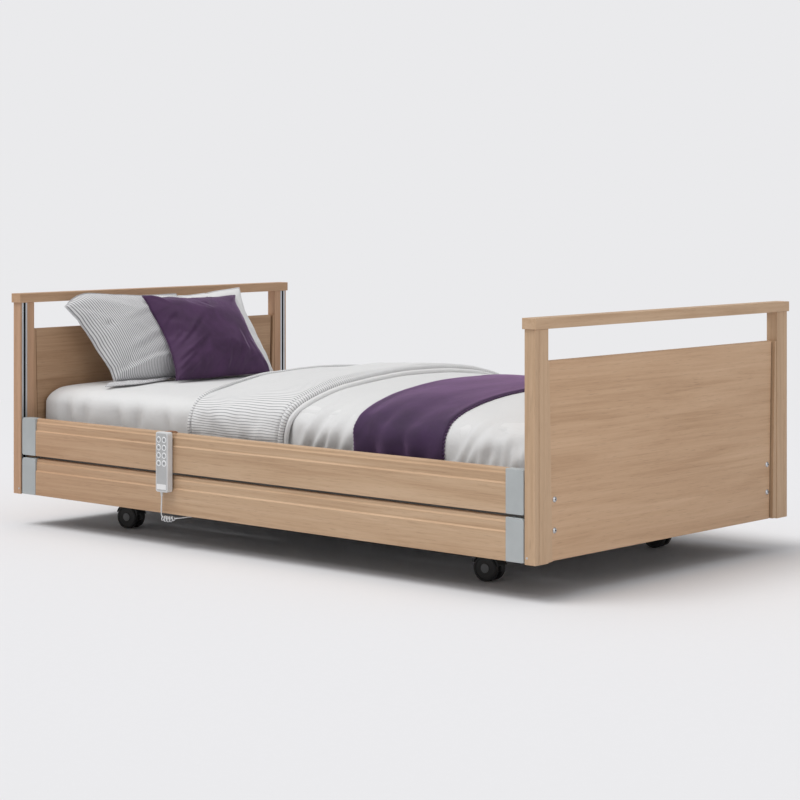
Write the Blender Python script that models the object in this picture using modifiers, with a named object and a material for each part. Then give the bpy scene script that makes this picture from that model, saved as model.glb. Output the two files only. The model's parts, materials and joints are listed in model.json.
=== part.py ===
"""Low profiling bed: wooden end boards and lowering side rails on a steel chassis.

Metres, +Z up. Origin on the floor under the middle of the bed, +X towards the
foot end. The near side, which carries the handset, is -Y.
"""
import math

import bmesh
import bpy
from mathutils import Matrix, Vector

# ---------------------------------------------------------- shared dimensions
# Spans are (low, high). Those of mirrored parts are given for the +X or +Y one.
ENDS = (("head", -1), ("foot", 1))
SIDES = (("near", -1), ("far", 1))
GAP = 0.0003                               # clearance between neighbouring parts

POST_X, POST_Y = (1.054, 1.090), (0.559, 0.616)
POST_BOTTOM = 0.103
CAP_Z = (0.728, 0.758)
PANEL_X, PANEL_TOP = (1.060, 1.080), 0.641
TRACK_Y = 0.599                            # centre line of the guide tracks

RAIL_Y = (0.587, 0.612)
RAIL_END = {"head": 0.982, "foot": 0.987}  # distance of the wood's ends from the middle
RAIL_Z = {"upper": (0.2325, 0.354), "lower": (0.105, 0.224)}

CASTOR_X = {"head": -0.770, "foot": 0.735}

ARM_LOW_X, ARM_LOW_Z = {"head": -0.62, "foot": 0.20}, 0.145
ARM_LENGTH, ARM_REST_ANGLE = 0.48, 4.0     # pivot to pivot; degrees above level
ARM_TUBE_R = 0.0125

HINGE_Z = 0.282                            # axis height of all platform hinges
BACK_X, THIGH_X, CALF_X = -0.22, 0.0, 0.33
TORSION_R = 0.010
TORSION_HOLE_R = TORSION_R + 0.0008

# actuators: (x, z) of the fixed pivots, y of the centre planes
LIFT_PIVOT, BACK_PIVOT, LEG_PIVOT = (-0.20, 0.160), (0.225, 0.238), (-0.365, 0.240)
LIFT_Y, BACK_Y, LEG_Y = 0.0, -0.12, 0.12
LEVER_Y, LEVER_R = (0.001, 0.009), 0.012   # lever, from the actuator's centre plane


def polar(start, length, degrees):
    """The point at a length and an angle from a start point."""
    angle = math.radians(degrees)
    return start[0] + length * math.cos(angle), start[1] + length * math.sin(angle)


ARM_LOW = {end: (x, ARM_LOW_Z) for end, x in ARM_LOW_X.items()}
ARM_TOP = {end: polar(low, ARM_LENGTH, ARM_REST_ANGLE) for end, low in ARM_LOW.items()}
LIFT_TIP = polar(ARM_LOW["head"], 0.080, 60)
BACK_TIP = polar((BACK_X, HINGE_Z), 0.075, -55)
LEG_TIP = polar((THIGH_X, HINGE_Z), 0.075, -107.5)

# ------------------------------------------------------------------ the scene
for old in list(bpy.data.objects):
    bpy.data.objects.remove(old, do_unlink=True)

PARTS = bpy.data.collections.new("hospital_bed")
CUTTERS = bpy.data.collections.new("cutters")
bpy.context.scene.collection.children.link(PARTS)
bpy.context.scene.collection.children.link(CUTTERS)
CUTTERS.hide_render = True


# ------------------------------------------------------------------ materials
def material(name, color, roughness, metallic=0.0):
    mat = bpy.data.materials.new(name)
    mat.use_nodes = True
    inputs = mat.node_tree.nodes["Principled BSDF"].inputs
    inputs["Base Color"].default_value = (*color, 1.0)
    inputs["Roughness"].default_value = roughness
    inputs["Metallic"].default_value = metallic
    return mat


OAK = material("oak", color=(0.50, 0.35, 0.22), roughness=0.45)
OAK_PANEL = material("oak_panel", color=(0.43, 0.29, 0.18), roughness=0.45)
GREY_PLASTIC = material("grey_plastic", color=(0.40, 0.42, 0.43), roughness=0.40)
ALUMINIUM = material("aluminium", color=(0.62, 0.64, 0.66), roughness=0.30, metallic=1.0)
STEEL = material("painted_steel", color=(0.33, 0.34, 0.35), roughness=0.45, metallic=0.2)
CHROME = material("chromed_rod", color=(0.75, 0.75, 0.76), roughness=0.15, metallic=1.0)
MOTOR = material("motor_housing", color=(0.13, 0.13, 0.14), roughness=0.5)
CASTOR_BODY = material("castor_body", color=(0.035, 0.035, 0.037), roughness=0.42)
TYRE = material("castor_tyre", color=(0.02, 0.02, 0.021), roughness=0.6)
HANDSET_GREY = material("handset_shell", color=(0.60, 0.61, 0.63), roughness=0.4)
BUTTON = material("handset_button", color=(0.78, 0.78, 0.78), roughness=0.45)
TICKING = material("mattress_cover", color=(0.74, 0.74, 0.74), roughness=0.85)
WHITE_LINEN = material("white_linen", color=(0.78, 0.78, 0.79), roughness=0.85)
STRIPED = material("striped_linen", color=(0.60, 0.60, 0.62), roughness=0.85)
PURPLE = material("purple_velvet", color=(0.09, 0.045, 0.13), roughness=0.8)


# ----------------------------------------------------------------- spans
def spread(centre, half):
    return centre - half, centre + half


def shifted(span, distance):
    return span[0] + distance, span[1] + distance


def mirrored(sign, span):
    """The span itself for sign 1, its mirror image for sign -1."""
    return tuple(sorted((sign * span[0], sign * span[1])))


# ------------------------------------------------------- outlines in a plane
HOLE_SEGMENTS = 12
BAR_END_STEPS = 6


def circle(centre, radius):
    turns = [2 * math.pi * (i + 0.5) / HOLE_SEGMENTS for i in range(HOLE_SEGMENTS)]
    return [(centre[0] + radius * math.cos(turn), centre[1] + radius * math.sin(turn))
            for turn in turns]


def arc(centre, radius, start, stop, steps):
    """Points on an arc between two angles in degrees."""
    return [polar(centre, radius, start + (stop - start) * i / steps) for i in range(steps + 1)]


def bar_outline(start, stop, radius):
    """Outline of a flat bar with round ends centred on two points."""
    angle = math.degrees(math.atan2(stop[1] - start[1], stop[0] - start[0]))
    return (arc(stop, radius, angle - 90, angle + 90, BAR_END_STEPS)
            + arc(start, radius, angle + 90, angle + 270, BAR_END_STEPS))


# -------------------------------------------------------------------- shapes
def loose(mesh):
    """A working object that is used up by a later step."""
    obj = bpy.data.objects.new("piece", mesh)
    CUTTERS.objects.link(obj)
    return obj


def from_bmesh(bm):
    bmesh.ops.recalc_face_normals(bm, faces=bm.faces[:])
    mesh = bpy.data.meshes.new("shape")
    bm.to_mesh(mesh)
    bm.free()
    return loose(mesh)


def block(*spans):
    """A square-edged bar or plate, from its x, y and z spans."""
    bm = bmesh.new()
    bmesh.ops.create_cube(bm, size=1.0)
    size = [high - low for low, high in spans]
    middle = Vector([low + high for low, high in spans]) / 2
    place = Matrix.Translation(middle) @ Matrix.Diagonal((*size, 1.0))
    bmesh.ops.transform(bm, verts=bm.verts, matrix=place)
    return from_bmesh(bm)


def rod(start, stop, radius, segments=12):
    """A round bar between two points."""
    start, stop = Vector(start), Vector(stop)
    along = stop - start
    bm = bmesh.new()
    bmesh.ops.create_cone(bm, cap_ends=True, segments=segments,
                          radius1=radius, radius2=radius, depth=along.length)
    turn = along.to_track_quat("Z", "Y").to_matrix().to_4x4()
    place = Matrix.Translation((start + stop) / 2) @ turn
    bmesh.ops.transform(bm, verts=bm.verts, matrix=place)
    return from_bmesh(bm)


def cross_rod(point, y_span, radius, segments=12):
    """A round bar along Y through an (x, z) point."""
    x, z = point
    return rod((x, y_span[0], z), (x, y_span[1], z), radius, segments)


def mesh_of(obj):
    """The object's evaluated mesh in world space; the object is removed."""
    bpy.context.view_layer.update()
    graph = bpy.context.evaluated_depsgraph_get()
    mesh = bpy.data.meshes.new_from_object(obj.evaluated_get(graph))
    mesh.transform(obj.matrix_world)
    bm = bmesh.new()
    bm.from_mesh(mesh)
    bmesh.ops.remove_doubles(bm, verts=bm.verts, dist=1e-6)
    bmesh.ops.recalc_face_normals(bm, faces=bm.faces[:])
    bm.to_mesh(mesh)
    bm.free()
    bpy.data.objects.remove(obj, do_unlink=True)
    return mesh


# per thickness axis: its direction, and the turn that lays an outline across it
PLANES = {
    "X": (Vector((1, 0, 0)), Matrix(((0, 0, 1), (1, 0, 0), (0, 1, 0)))),   # outline in (y, z)
    "Y": (Vector((0, 1, 0)), Matrix(((1, 0, 0), (0, 0, -1), (0, 1, 0)))),  # outline in (x, z)
    "Z": (Vector((0, 0, 1)), Matrix.Identity(3)),                          # outline in (x, y)
}


def plate(axis, outlines, span):
    """A flat outline, with any holes as further outlines, filling a span of the axis."""
    low, high = span
    curve = bpy.data.curves.new("outline", "CURVE")
    curve.dimensions = "2D"
    curve.fill_mode = "BOTH"
    curve.extrude = (high - low) / 2
    for points in outlines:
        spline = curve.splines.new("POLY")
        spline.points.add(len(points) - 1)
        for spot, point in zip(spline.points, points):
            spot.co = (*point, 0.0, 1.0)
        spline.use_cyclic_u = True
    obj = bpy.data.objects.new("outline", curve)
    CUTTERS.objects.link(obj)
    along, turn = PLANES[axis]
    obj.matrix_world = Matrix.Translation(along * (low + high) / 2) @ turn.to_4x4()
    return loose(mesh_of(obj))


def turned(profile, steps):
    """A turned shape about Z; its (radius, z) profile starts and ends on the axis."""
    mesh = bpy.data.meshes.new("profile")
    edges = [(i, i + 1) for i in range(len(profile) - 1)]
    mesh.from_pydata([(radius, 0.0, z) for radius, z in profile], edges, [])
    obj = loose(mesh)
    screw = obj.modifiers.new("turn", "SCREW")
    screw.axis = "Z"
    screw.steps = screw.render_steps = steps
    screw.use_merge_vertices = True
    screw.merge_threshold = 1e-5
    return loose(mesh_of(obj))


def moved(obj, matrix):
    obj.data.transform(matrix)
    return obj


def combine(pieces, cuts=()):
    """One body from overlapping pieces, less the cutters."""
    body = pieces[0]
    steps = [(piece, "UNION") for piece in pieces[1:]] + [(cut, "DIFFERENCE") for cut in cuts]
    for other, mode in steps:
        boolean = body.modifiers.new(mode.lower(), "BOOLEAN")
        boolean.operation = mode
        boolean.solver = "EXACT"
        boolean.object = other
        mesh = mesh_of(body)
        bpy.data.objects.remove(other, do_unlink=True)
        body = loose(mesh)
    return body


def finish(name, shape, mat, origin=(0.0, 0.0, 0.0), smooth=False):
    """Turns a working shape into a named part with its own origin."""
    mesh = shape.data
    bpy.data.objects.remove(shape, do_unlink=True)
    mesh.name = name
    mesh.transform(Matrix.Translation(-Vector(origin)))
    mesh.materials.clear()
    mesh.materials.append(mat)
    obj = bpy.data.objects.new(name, mesh)
    obj.location = origin
    PARTS.objects.link(obj)
    if smooth:
        mesh.shade_smooth()
        mesh.set_sharp_from_angle(angle=math.radians(35))


# ---------------------------------------------------------------- end boards
CAP_OVERHANG = 0.005
POST_INTO_CAP = 0.012
GROOVE_OVERCUT = 0.02
TRACK_HALF, TRACK_BACK = 0.011, 1.0660
# the panel's side edges run in slightly towards the floor: (y, z)
PANEL_OUTLINE = [(-0.534, 0.105), (0.532, 0.105), (0.545, PANEL_TOP), (-0.547, PANEL_TOP)]
TONGUE_X, TONGUE_BOTTOM, TONGUE_DROP = (1.066, 1.074), 0.108, 0.003


def end_frame(end, end_sign):
    """Two posts under a cap, each post with a groove for its track, open at the bottom."""
    cap_x = (POST_X[0] - CAP_OVERHANG, POST_X[1] + CAP_OVERHANG)
    groove_x = (POST_X[0] - GROOVE_OVERCUT, TRACK_BACK + GAP)
    pieces = [block(mirrored(end_sign, cap_x), spread(0, POST_Y[1] + CAP_OVERHANG), CAP_Z)]
    cuts = []
    for _, side in SIDES:
        pieces.append(block(mirrored(end_sign, POST_X), mirrored(side, POST_Y),
                            (POST_BOTTOM, CAP_Z[0] + POST_INTO_CAP)))
        cuts.append(block(mirrored(end_sign, groove_x), spread(side * TRACK_Y, TRACK_HALF + GAP),
                          (POST_BOTTOM - GROOVE_OVERCUT, CAP_Z[0])))
    finish(f"{end}board_frame", combine(pieces, cuts), OAK)


def end_panel(end, end_sign):
    """A panel with a thinner tongue that reaches to the posts."""
    main = plate("X", [PANEL_OUTLINE], mirrored(end_sign, PANEL_X))
    tongue = block(mirrored(end_sign, TONGUE_X), spread(0, POST_Y[0] - GAP),
                   (TONGUE_BOTTOM, PANEL_TOP - TONGUE_DROP))
    finish(f"{end}board_panel", combine([main, tongue]), OAK_PANEL)


def guide_track(end, end_sign, side_name, side):
    """C-section track let into the post, its slot towards the middle of the bed."""
    mouth = POST_X[0] + 0.0001
    lip, web = mouth + 0.0024, TRACK_BACK - 0.002
    slot_half, inside_half = 0.004, 0.0085
    section_points = [             # x, y from the track's centre line
        (mouth, -TRACK_HALF), (mouth, -slot_half), (lip, -slot_half), (lip, -inside_half),
        (web, -inside_half), (web, inside_half), (lip, inside_half), (lip, slot_half),
        (mouth, slot_half), (mouth, TRACK_HALF), (TRACK_BACK, TRACK_HALF),
        (TRACK_BACK, -TRACK_HALF)]
    outline = [(end_sign * x, side * (TRACK_Y + y)) for x, y in section_points]
    track = plate("Z", [outline], (POST_BOTTOM + 0.001, CAP_Z[0] - GAP))
    finish(f"{end}_{side_name}_guide_track", track, ALUMINIUM)


for end, end_sign in ENDS:
    end_frame(end, end_sign)
    end_panel(end, end_sign)
    for side_name, side in SIDES:
        guide_track(end, end_sign, side_name, side)

# ---------------------------------------------------------------- side rails
ENDCAP_X = 1.049
ENDCAP_OVER = 0.0015                       # stands proud of each face of the board
ENDCAP_R, ENDCAP_CHAMFER = 0.010, 0.004
NECK_END, NECK_HALF = 1.0600, 0.003
SLIDER_X, SLIDER_HALF = (1.0578, 1.0625), 0.0065


def rail_board(body, side, bottom, top):
    """Board with rounded top edges and a V groove along the outer face."""
    inner, outer = (side * y for y in RAIL_Y)
    groove = top - 0.034
    outline = [
        (inner, bottom + 0.002), (inner + side * 0.002, bottom),
        (outer - side * 0.002, bottom), (outer, bottom + 0.002),
        (outer, groove - 0.004), (outer - side * 0.0035, groove), (outer, groove + 0.004),
        (outer, top - 0.009), (outer - side * 0.0026, top - 0.0026),
        (outer - side * 0.009, top), (inner + side * 0.004, top), (inner, top - 0.004)]
    board = plate("X", [outline], (-RAIL_END["head"] + GAP, RAIL_END["foot"] - GAP))
    origin = (0.0, side * sum(RAIL_Y) / 2, (bottom + top) / 2)
    finish(f"{body}_rail", board, OAK, origin)


def rail_end_cap(body, side, end, end_sign, bottom, top):
    """Cap with a rounded outer top corner, and a T-shaped slider that runs in the track."""
    wood = RAIL_END[end]
    corner = arc((ENDCAP_X - ENDCAP_R, top - ENDCAP_R), ENDCAP_R, 0, 90, 4)
    outline = [(wood, bottom), (ENDCAP_X - ENDCAP_CHAMFER, bottom),
               (ENDCAP_X, bottom + ENDCAP_CHAMFER), *corner, (wood, top)]
    shell_y = (RAIL_Y[0] - ENDCAP_OVER, RAIL_Y[1] + ENDCAP_OVER)
    shell = plate("Y", [[(end_sign * x, z) for x, z in outline]], mirrored(side, shell_y))
    slider_z = (bottom + 0.012, top - 0.016)
    neck = block(mirrored(end_sign, (ENDCAP_X - 0.004, NECK_END)),
                 spread(side * TRACK_Y, NECK_HALF), slider_z)
    slider = block(mirrored(end_sign, SLIDER_X), spread(side * TRACK_Y, SLIDER_HALF), slider_z)
    finish(f"{body}_{end}_end_cap", combine([shell, neck, slider]), GREY_PLASTIC,
           origin=(end_sign * ENDCAP_X, side * TRACK_Y, bottom))


for side_name, side in SIDES:
    for level, rail_z in RAIL_Z.items():
        rail_board(f"{side_name}_{level}", side, *rail_z)
        for end, end_sign in ENDS:
            rail_end_cap(f"{side_name}_{level}", side, end, end_sign, *rail_z)

# ------------------------------------------------------------------- castors
CASTOR_R = 0.0375
CASTOR_TRAIL = 0.022                       # axle offset from the stem
CASTOR_TOP = 0.0975
AXLE = (CASTOR_TRAIL, CASTOR_R)            # x from the stem, z
CASTORS = (                                # name, stem x, stem y, swivel in degrees
    ("head_near", CASTOR_X["head"], -0.410, 10.0),
    ("head_far", CASTOR_X["head"], 0.410, -8.0),
    ("foot_near", CASTOR_X["foot"], -0.405, 8.0),
    ("foot_far", CASTOR_X["foot"], 0.405, 6.0),
)


def castor_fork(name, x, y, place):
    """Stem, flange, curved hood over the wheels and a web between them."""
    web_outline = arc(AXLE, 0.0435, -8, 188, 10) + [
        (AXLE[0] - 0.016, AXLE[1] - 0.016), (AXLE[0] + 0.016, AXLE[1] - 0.016)]
    web = plate("Y", [web_outline, circle(AXLE, 0.0056)], spread(0, 0.006))
    hood_outline = arc(AXLE, 0.0436, 12, 160, 9) + arc(AXLE, 0.0408, 160, 12, 9)
    hood = plate("Y", [hood_outline], spread(0, 0.0235))
    stem = rod((0, 0, 0.0715), (0, 0, CASTOR_TOP), 0.011)
    flange = rod((0, 0, 0.0925), (0, 0, CASTOR_TOP - 0.0001), 0.024)
    body = moved(combine([web, hood, stem, flange]), place)
    finish(f"{name}_castor_fork", body, CASTOR_BODY, origin=(x, y, CASTOR_TOP), smooth=True)


def castor_wheels(name, place):
    """Two wheels and their axle, turned as one."""
    outer, inner, axle_r, shoulder_r, bevel = 0.0275, 0.0085, 0.005, 0.031, 0.005
    half = [(0.0, outer), (shoulder_r, outer), (CASTOR_R, outer - bevel),
            (CASTOR_R, inner), (axle_r, inner)]
    pair = turned(half + [(radius, -z) for radius, z in reversed(half)], 20)
    hub = Vector((AXLE[0], 0, AXLE[1]))
    lay = Matrix.Translation(hub) @ Matrix.Rotation(math.radians(90), 4, "X")
    finish(f"{name}_castor_wheels", moved(pair, place @ lay), TYRE, origin=place @ hub,
           smooth=True)


for name, x, y, swivel in CASTORS:
    place = Matrix.Translation((x, y, 0)) @ Matrix.Rotation(math.radians(swivel), 4, "Z")
    castor_fork(name, x, y, place)
    castor_wheels(name, place)

# ------------------------------------------------------- chassis and bed frame
LUG_HALF = 0.021
LUG_HOLE_R = ARM_TUBE_R + 0.0009
BASE_LUG_Y = (0.387, 0.395)
BED_LUG_Y, BED_LUG_ROOT_Y = (0.480, 0.488), (0.484, 0.505)
CHEEK_Y = (0.006, 0.0115)                  # clevis cheek, from the centre plane


def lug(pivot, root_z, y_span):
    """A flat lug with a hole at the pivot, standing on or hanging from root_z."""
    x, z = pivot
    up = z > root_z
    half = LUG_HALF if up else -LUG_HALF
    start = 0 if up else 180
    outline = [(x - half, root_z), (x + half, root_z)]
    outline += arc(pivot, LUG_HALF, start, start + 180, 8)
    return plate("Y", [outline, circle(pivot, LUG_HOLE_R)], y_span)


def clevis(outline, pivot, y):
    """Two cheeks of one outline and the pin through them."""
    cheeks = [plate("Y", [outline], shifted(mirrored(side, CHEEK_Y), y)) for _, side in SIDES]
    return cheeks + [cross_rod(pivot, spread(y, 0.0125), 0.0055)]


def base_frame():
    """Two long members, cross members, lift arm lugs and the lift motor's clevis."""
    pieces = [block((-0.81, 0.775), mirrored(side, (0.385, 0.435)), (0.098, 0.128))
              for _, side in SIDES]
    for x in (CASTOR_X["head"], LIFT_PIVOT[0], ARM_LOW_X["foot"], CASTOR_X["foot"]):
        pieces.append(block(spread(x, 0.024), spread(0, 0.39), (0.0985, 0.1275)))
    for _, side in SIDES:
        for low in ARM_LOW.values():
            pieces.append(lug(low, 0.118, mirrored(side, BASE_LUG_Y)))
    cheek_foot = [(x, 0.120) for x in spread(LIFT_PIVOT[0], 0.018)]
    cheek = cheek_foot + arc(LIFT_PIVOT, 0.013, 0, 180, 6)
    pieces += clevis(cheek, LIFT_PIVOT, LIFT_Y)
    finish("base_frame", combine(pieces), STEEL)


def hinge_lug(x, y_span):
    """A standing lug with chamfered top corners and a hole for a torsion tube."""
    outline = [(x - 0.022, 0.225), (x + 0.022, 0.225), (x + 0.022, 0.292),
               (x + 0.016, 0.298), (x - 0.016, 0.298), (x - 0.022, 0.292)]
    return plate("Y", [outline, circle((x, HINGE_Z), TORSION_HOLE_R)], y_span)


def bed_frame():
    """Side members with end plates and lugs, cross members and two motor clevises."""
    pieces = []
    for _, side in SIDES:
        pieces.append(block((-1.052, 1.052), mirrored(side, (0.500, 0.540)), (0.190, 0.265)))
        for _, end_sign in ENDS:
            pieces.append(block(mirrored(end_sign, (1.048, PANEL_X[0] - GAP)),
                                mirrored(side, (0.495, 0.545)), (0.165, 0.288)))
        lug_y, root_y = mirrored(side, BED_LUG_Y), mirrored(side, BED_LUG_ROOT_Y)
        # lift arm lugs hang inside the side members, those for the sections stand up
        for top in ARM_TOP.values():
            pieces.append(lug(top, 0.235, lug_y))
            pieces.append(block(spread(top[0], 0.018), root_y, (0.205, 0.240)))
        for x in (BACK_X, THIGH_X):
            pieces.append(hinge_lug(x, lug_y))
            pieces.append(block(spread(x, 0.018), root_y, (0.228, 0.260)))
    for x in (-1.015, -0.400, 0.260, 1.000):
        pieces.append(block(spread(x, 0.015), spread(0, 0.505), (0.222, 0.262)))
    for x in (-0.165, -0.055):
        pieces.append(block(spread(x, 0.021), spread(0, 0.535), (0.263, 0.2975)))
    for pivot, y, root_x in ((BACK_PIVOT, BACK_Y, 0.250), (LEG_PIVOT, LEG_Y, -0.390)):
        cheek = bar_outline(pivot, (root_x, pivot[1] + 0.002), 0.012)
        pieces += clevis(cheek, pivot, y)
    top_x, top_z = ARM_TOP["head"]
    finish("bed_frame", combine(pieces), STEEL, origin=(top_x, 0.0, top_z))


base_frame()
bed_frame()


# ----------------------------------------------------------------- lift arms
def lever_plate(pivot, tip, y):
    return plate("Y", [bar_outline(pivot, tip, LEVER_R)], shifted(LEVER_Y, y))


def lift_arm(end, lever_tip=None):
    """A pair of bars between a lower and an upper cross tube, with an optional lever."""
    low, top = ARM_LOW[end], ARM_TOP[end]
    parts = [cross_rod(low, spread(0, 0.3975), ARM_TUBE_R),
             cross_rod(top, spread(0, 0.4915), ARM_TUBE_R)]
    for _, side in SIDES:
        parts.append(plate("Y", [bar_outline(low, top, 0.0145)], mirrored(side, (0.300, 0.320))))
    if lever_tip:
        parts.append(lever_plate(low, lever_tip, LIFT_Y))
    finish(f"{end}_lift_arm", combine(parts), STEEL, origin=(low[0], 0.0, low[1]))


lift_arm("head", LIFT_TIP)
lift_arm("foot")


# ---------------------------------------------------- mattress platform sections
def section(name, hinge_x, bar_y, end_x, slats, lever=None, eye=False, reach=0.4915):
    """A hinged platform section: torsion tube on the hinge line, two side bars, cross slats.

    lever is (tip, y); eye bores the bars' far ends; reach is the tube's half length.
    """
    hinge, bar_end = (hinge_x, HINGE_Z), (end_x, HINGE_Z)
    outlines = [bar_outline(hinge, bar_end, 0.0135)]
    if eye:
        outlines.append(circle(bar_end, TORSION_HOLE_R))
    parts = [cross_rod(hinge, spread(0, reach), TORSION_R)]
    parts += [plate("Y", outlines, mirrored(side, bar_y)) for _, side in SIDES]
    for x in slats:
        parts.append(block(spread(x, 0.030), spread(0, bar_y[0] + 0.004), (0.284, 0.2972)))
    if lever:
        parts.append(lever_plate(hinge, *lever))
    finish(name, combine(parts), STEEL, origin=(hinge_x, 0.0, HINGE_Z))


section("backrest_frame", BACK_X, bar_y=(0.450, 0.468), end_x=-0.985,
        slats=(-0.32, -0.45, -0.58, -0.71, -0.84, -0.96), lever=(BACK_TIP, BACK_Y))
section("thigh_frame", THIGH_X, bar_y=(0.456, 0.470), end_x=CALF_X,
        slats=(0.07, 0.165, 0.26), lever=(LEG_TIP, LEG_Y), eye=True)
section("calf_frame", CALF_X, bar_y=(0.434, 0.449), end_x=0.975,
        slats=(0.42, 0.54, 0.66, 0.78, 0.90), reach=0.476)


# ----------------------------------------------------------------- actuators
# Built along +X from the fixed pivot at the origin, then moved into place.
def motor(case_end, tube_end, bore_end):
    """Motor case and cross drum with a rear eye, and a tube bored from its mouth."""
    bore_r, tube_r, tube_start = 0.0115, 0.0165, case_end - 0.006
    case = block((0.030, case_end), spread(0, 0.034), spread(0, 0.024))
    drum = cross_rod((0.072, 0.0), spread(0, 0.046), 0.019, 16)
    eye_outline = bar_outline((0, 0), (0.045, 0), 0.011)
    eye = plate("Y", [eye_outline, circle((0, 0), 0.0062)], spread(0, 0.005))
    tube = turned([(0.0, bore_end), (bore_r, bore_end), (bore_r, tube_end),
                   (tube_r, tube_end), (tube_r, tube_start), (0.0, tube_start)], 16)
    tube = moved(tube, Matrix.Rotation(math.radians(90), 4, "Y"))
    return combine([case, drum, eye, tube])


def push_rod(rod_start, length):
    """Round rod with a flat end that lies beside the lever."""
    shaft = rod((rod_start, 0, 0), (length - 0.045, 0, 0), 0.0095, 16)
    flat_outline = bar_outline((length - 0.058, 0), (length, 0), 0.0088)
    return combine([shaft, plate("Y", [flat_outline], mirrored(-1, LEVER_Y))])


def actuator(name, pivot, tip, y, case_end, tube_end, rod_start):
    length = math.hypot(tip[0] - pivot[0], tip[1] - pivot[1])
    angle = math.atan2(tip[1] - pivot[1], tip[0] - pivot[0])
    pivot_point = (pivot[0], y, pivot[1])
    place = Matrix.Translation(pivot_point) @ Matrix.Rotation(-angle, 4, "Y")
    body = moved(motor(case_end, tube_end, rod_start - 0.004), place)
    finish(f"{name}_motor", body, MOTOR, origin=pivot_point, smooth=True)
    shaft = moved(push_rod(rod_start, length), place)
    finish(f"{name}_rod", shaft, CHROME, origin=(tip[0], y, tip[1]), smooth=True)


actuator("lift", LIFT_PIVOT, LIFT_TIP, LIFT_Y, case_end=0.125, tube_end=0.285, rod_start=0.150)
actuator("back", BACK_PIVOT, BACK_TIP, BACK_Y, case_end=0.130, tube_end=0.300, rod_start=0.160)
actuator("leg", LEG_PIVOT, LEG_TIP, LEG_Y, case_end=0.120, tube_end=0.255, rod_start=0.150)

# ------------------------------------------------------------------- handset
HANDSET_X, HANDSET_HALF = -0.3495, 0.027
HANDSET_Y, HANDSET_Z = (-0.636, -0.6139), (0.173, 0.357)
HOOK_HALF, HOOK_INNER_Y, HOOK_THICK = 0.0125, -0.5825, 0.0027
BUTTON_R, BUTTON_PITCH, TOP_BUTTON_Z = 0.0078, 0.024, 0.3335
FUNCTIONS = ("backrest", "knee", "height", "tilt")          # rows, top down
BUTTONS = [(f"{function}_{way}_button", (HANDSET_X + sign * BUTTON_PITCH / 2,
                                         TOP_BUTTON_Z - row * BUTTON_PITCH))
           for row, function in enumerate(FUNCTIONS) for way, sign in (("up", -1), ("down", 1))]


def handset_case():
    """Case with button wells, and a hook over the rail's top edge and down its inner face."""
    face_y, back_y = HANDSET_Y
    hook_x, hook_top = spread(HANDSET_X, HOOK_HALF), HANDSET_Z[1] - 0.0001
    case = block(spread(HANDSET_X, HANDSET_HALF), HANDSET_Y, HANDSET_Z)
    over = block(hook_x, (back_y - 0.006, HOOK_INNER_Y),
                 (RAIL_Z["upper"][1] + 0.0005, hook_top))
    down = block(hook_x, (HOOK_INNER_Y - HOOK_THICK, HOOK_INNER_Y), (0.3200, hook_top))
    wells = [cross_rod(point, (face_y - 0.01, face_y + 0.0055), BUTTON_R + 0.0004, 16)
             for _, point in BUTTONS]
    finish("handset_case", combine([case, over, down], wells), HANDSET_GREY,
           origin=(HANDSET_X, back_y, HANDSET_Z[1]))


def button(name, point):
    face_y = HANDSET_Y[0]
    disc = cross_rod(point, (face_y - 0.0012, face_y + 0.0038), BUTTON_R, 16)
    finish(name, disc, BUTTON, origin=(point[0], face_y, point[1]), smooth=True)


handset_case()
for name, point in BUTTONS:
    button(name, point)

# ------------------------------------------------------------------ mattress
MAT_HALF_X, MAT_HALF_Y, MAT_Z = 1.0, 0.505, (0.3003, 0.450)
BACK_FOLD, THIGH_FOLD = 35.5, 18.0         # slope of the cut faces at a fold, degrees
MAT_GAP = 0.0015


def relief(z, degrees):
    """How far a section's end face stands back from the fold line at height z."""
    return (z - HINGE_Z) * math.tan(math.radians(degrees)) + MAT_GAP


def mattress(name, start_x, start_fold, stop_x, stop_fold, hinge_x):
    bottom, top = MAT_Z
    outline = [(start_x + relief(bottom, start_fold), bottom),
               (stop_x - relief(bottom, stop_fold), bottom),
               (stop_x - relief(top, stop_fold), top),
               (start_x + relief(top, start_fold), top)]
    finish(f"mattress_{name}_section", plate("Y", [outline], spread(0, MAT_HALF_Y)), TICKING,
           origin=(hinge_x, 0.0, HINGE_Z))


mattress("back", -MAT_HALF_X, 0.0, BACK_X, BACK_FOLD, BACK_X)
mattress("seat", BACK_X, BACK_FOLD, THIGH_X, THIGH_FOLD, 0.0)
mattress("thigh", THIGH_X, THIGH_FOLD, CALF_X, 0.0, THIGH_X)
mattress("calf", CALF_X, 0.0, MAT_HALF_X, 0.0, CALF_X)

# ------------------------------------------------------------------- bedding
HEM_Z = 0.318
RUNNER_THICK = 0.0055                      # the runner's outer face, above the duvet's


def drape(grow=0.0):
    """Right half (y, z) of a cover's outer face, from hem to crown, grown out and up."""
    return [(0.552 + grow, HEM_Z), (0.552 + grow, 0.415), (0.505 + grow, 0.466 + grow),
            (0.400, 0.492 + grow), (0.200, 0.512 + grow), (0.0, 0.519 + grow)]


def whole(half):
    """A +Y half outline followed by its mirror image; a point on the centre isn't repeated."""
    return half + [(-y, z) for y, z in reversed(half) if y]


def cover(name, x_span, outer, inner, mat, hinge_x):
    """A cover between an outer and an inner face, both given as +Y halves."""
    outline = whole(outer) + whole(inner)[::-1]
    finish(name, plate("X", [outline], x_span), mat, origin=(hinge_x, 0.0, HINGE_Z))


DUVET_INNER = [(MAT_HALF_Y + 0.0015, HEM_Z), (MAT_HALF_Y + 0.0015, MAT_Z[1] + 0.0015)]
# just clear of the duvet, except at the hem and the crown, which keep their z and y
RUNNER_INNER = [(y + 0.0006 if y else y, z + 0.0008 if z > HEM_Z else z) for y, z in drape()]

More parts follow.
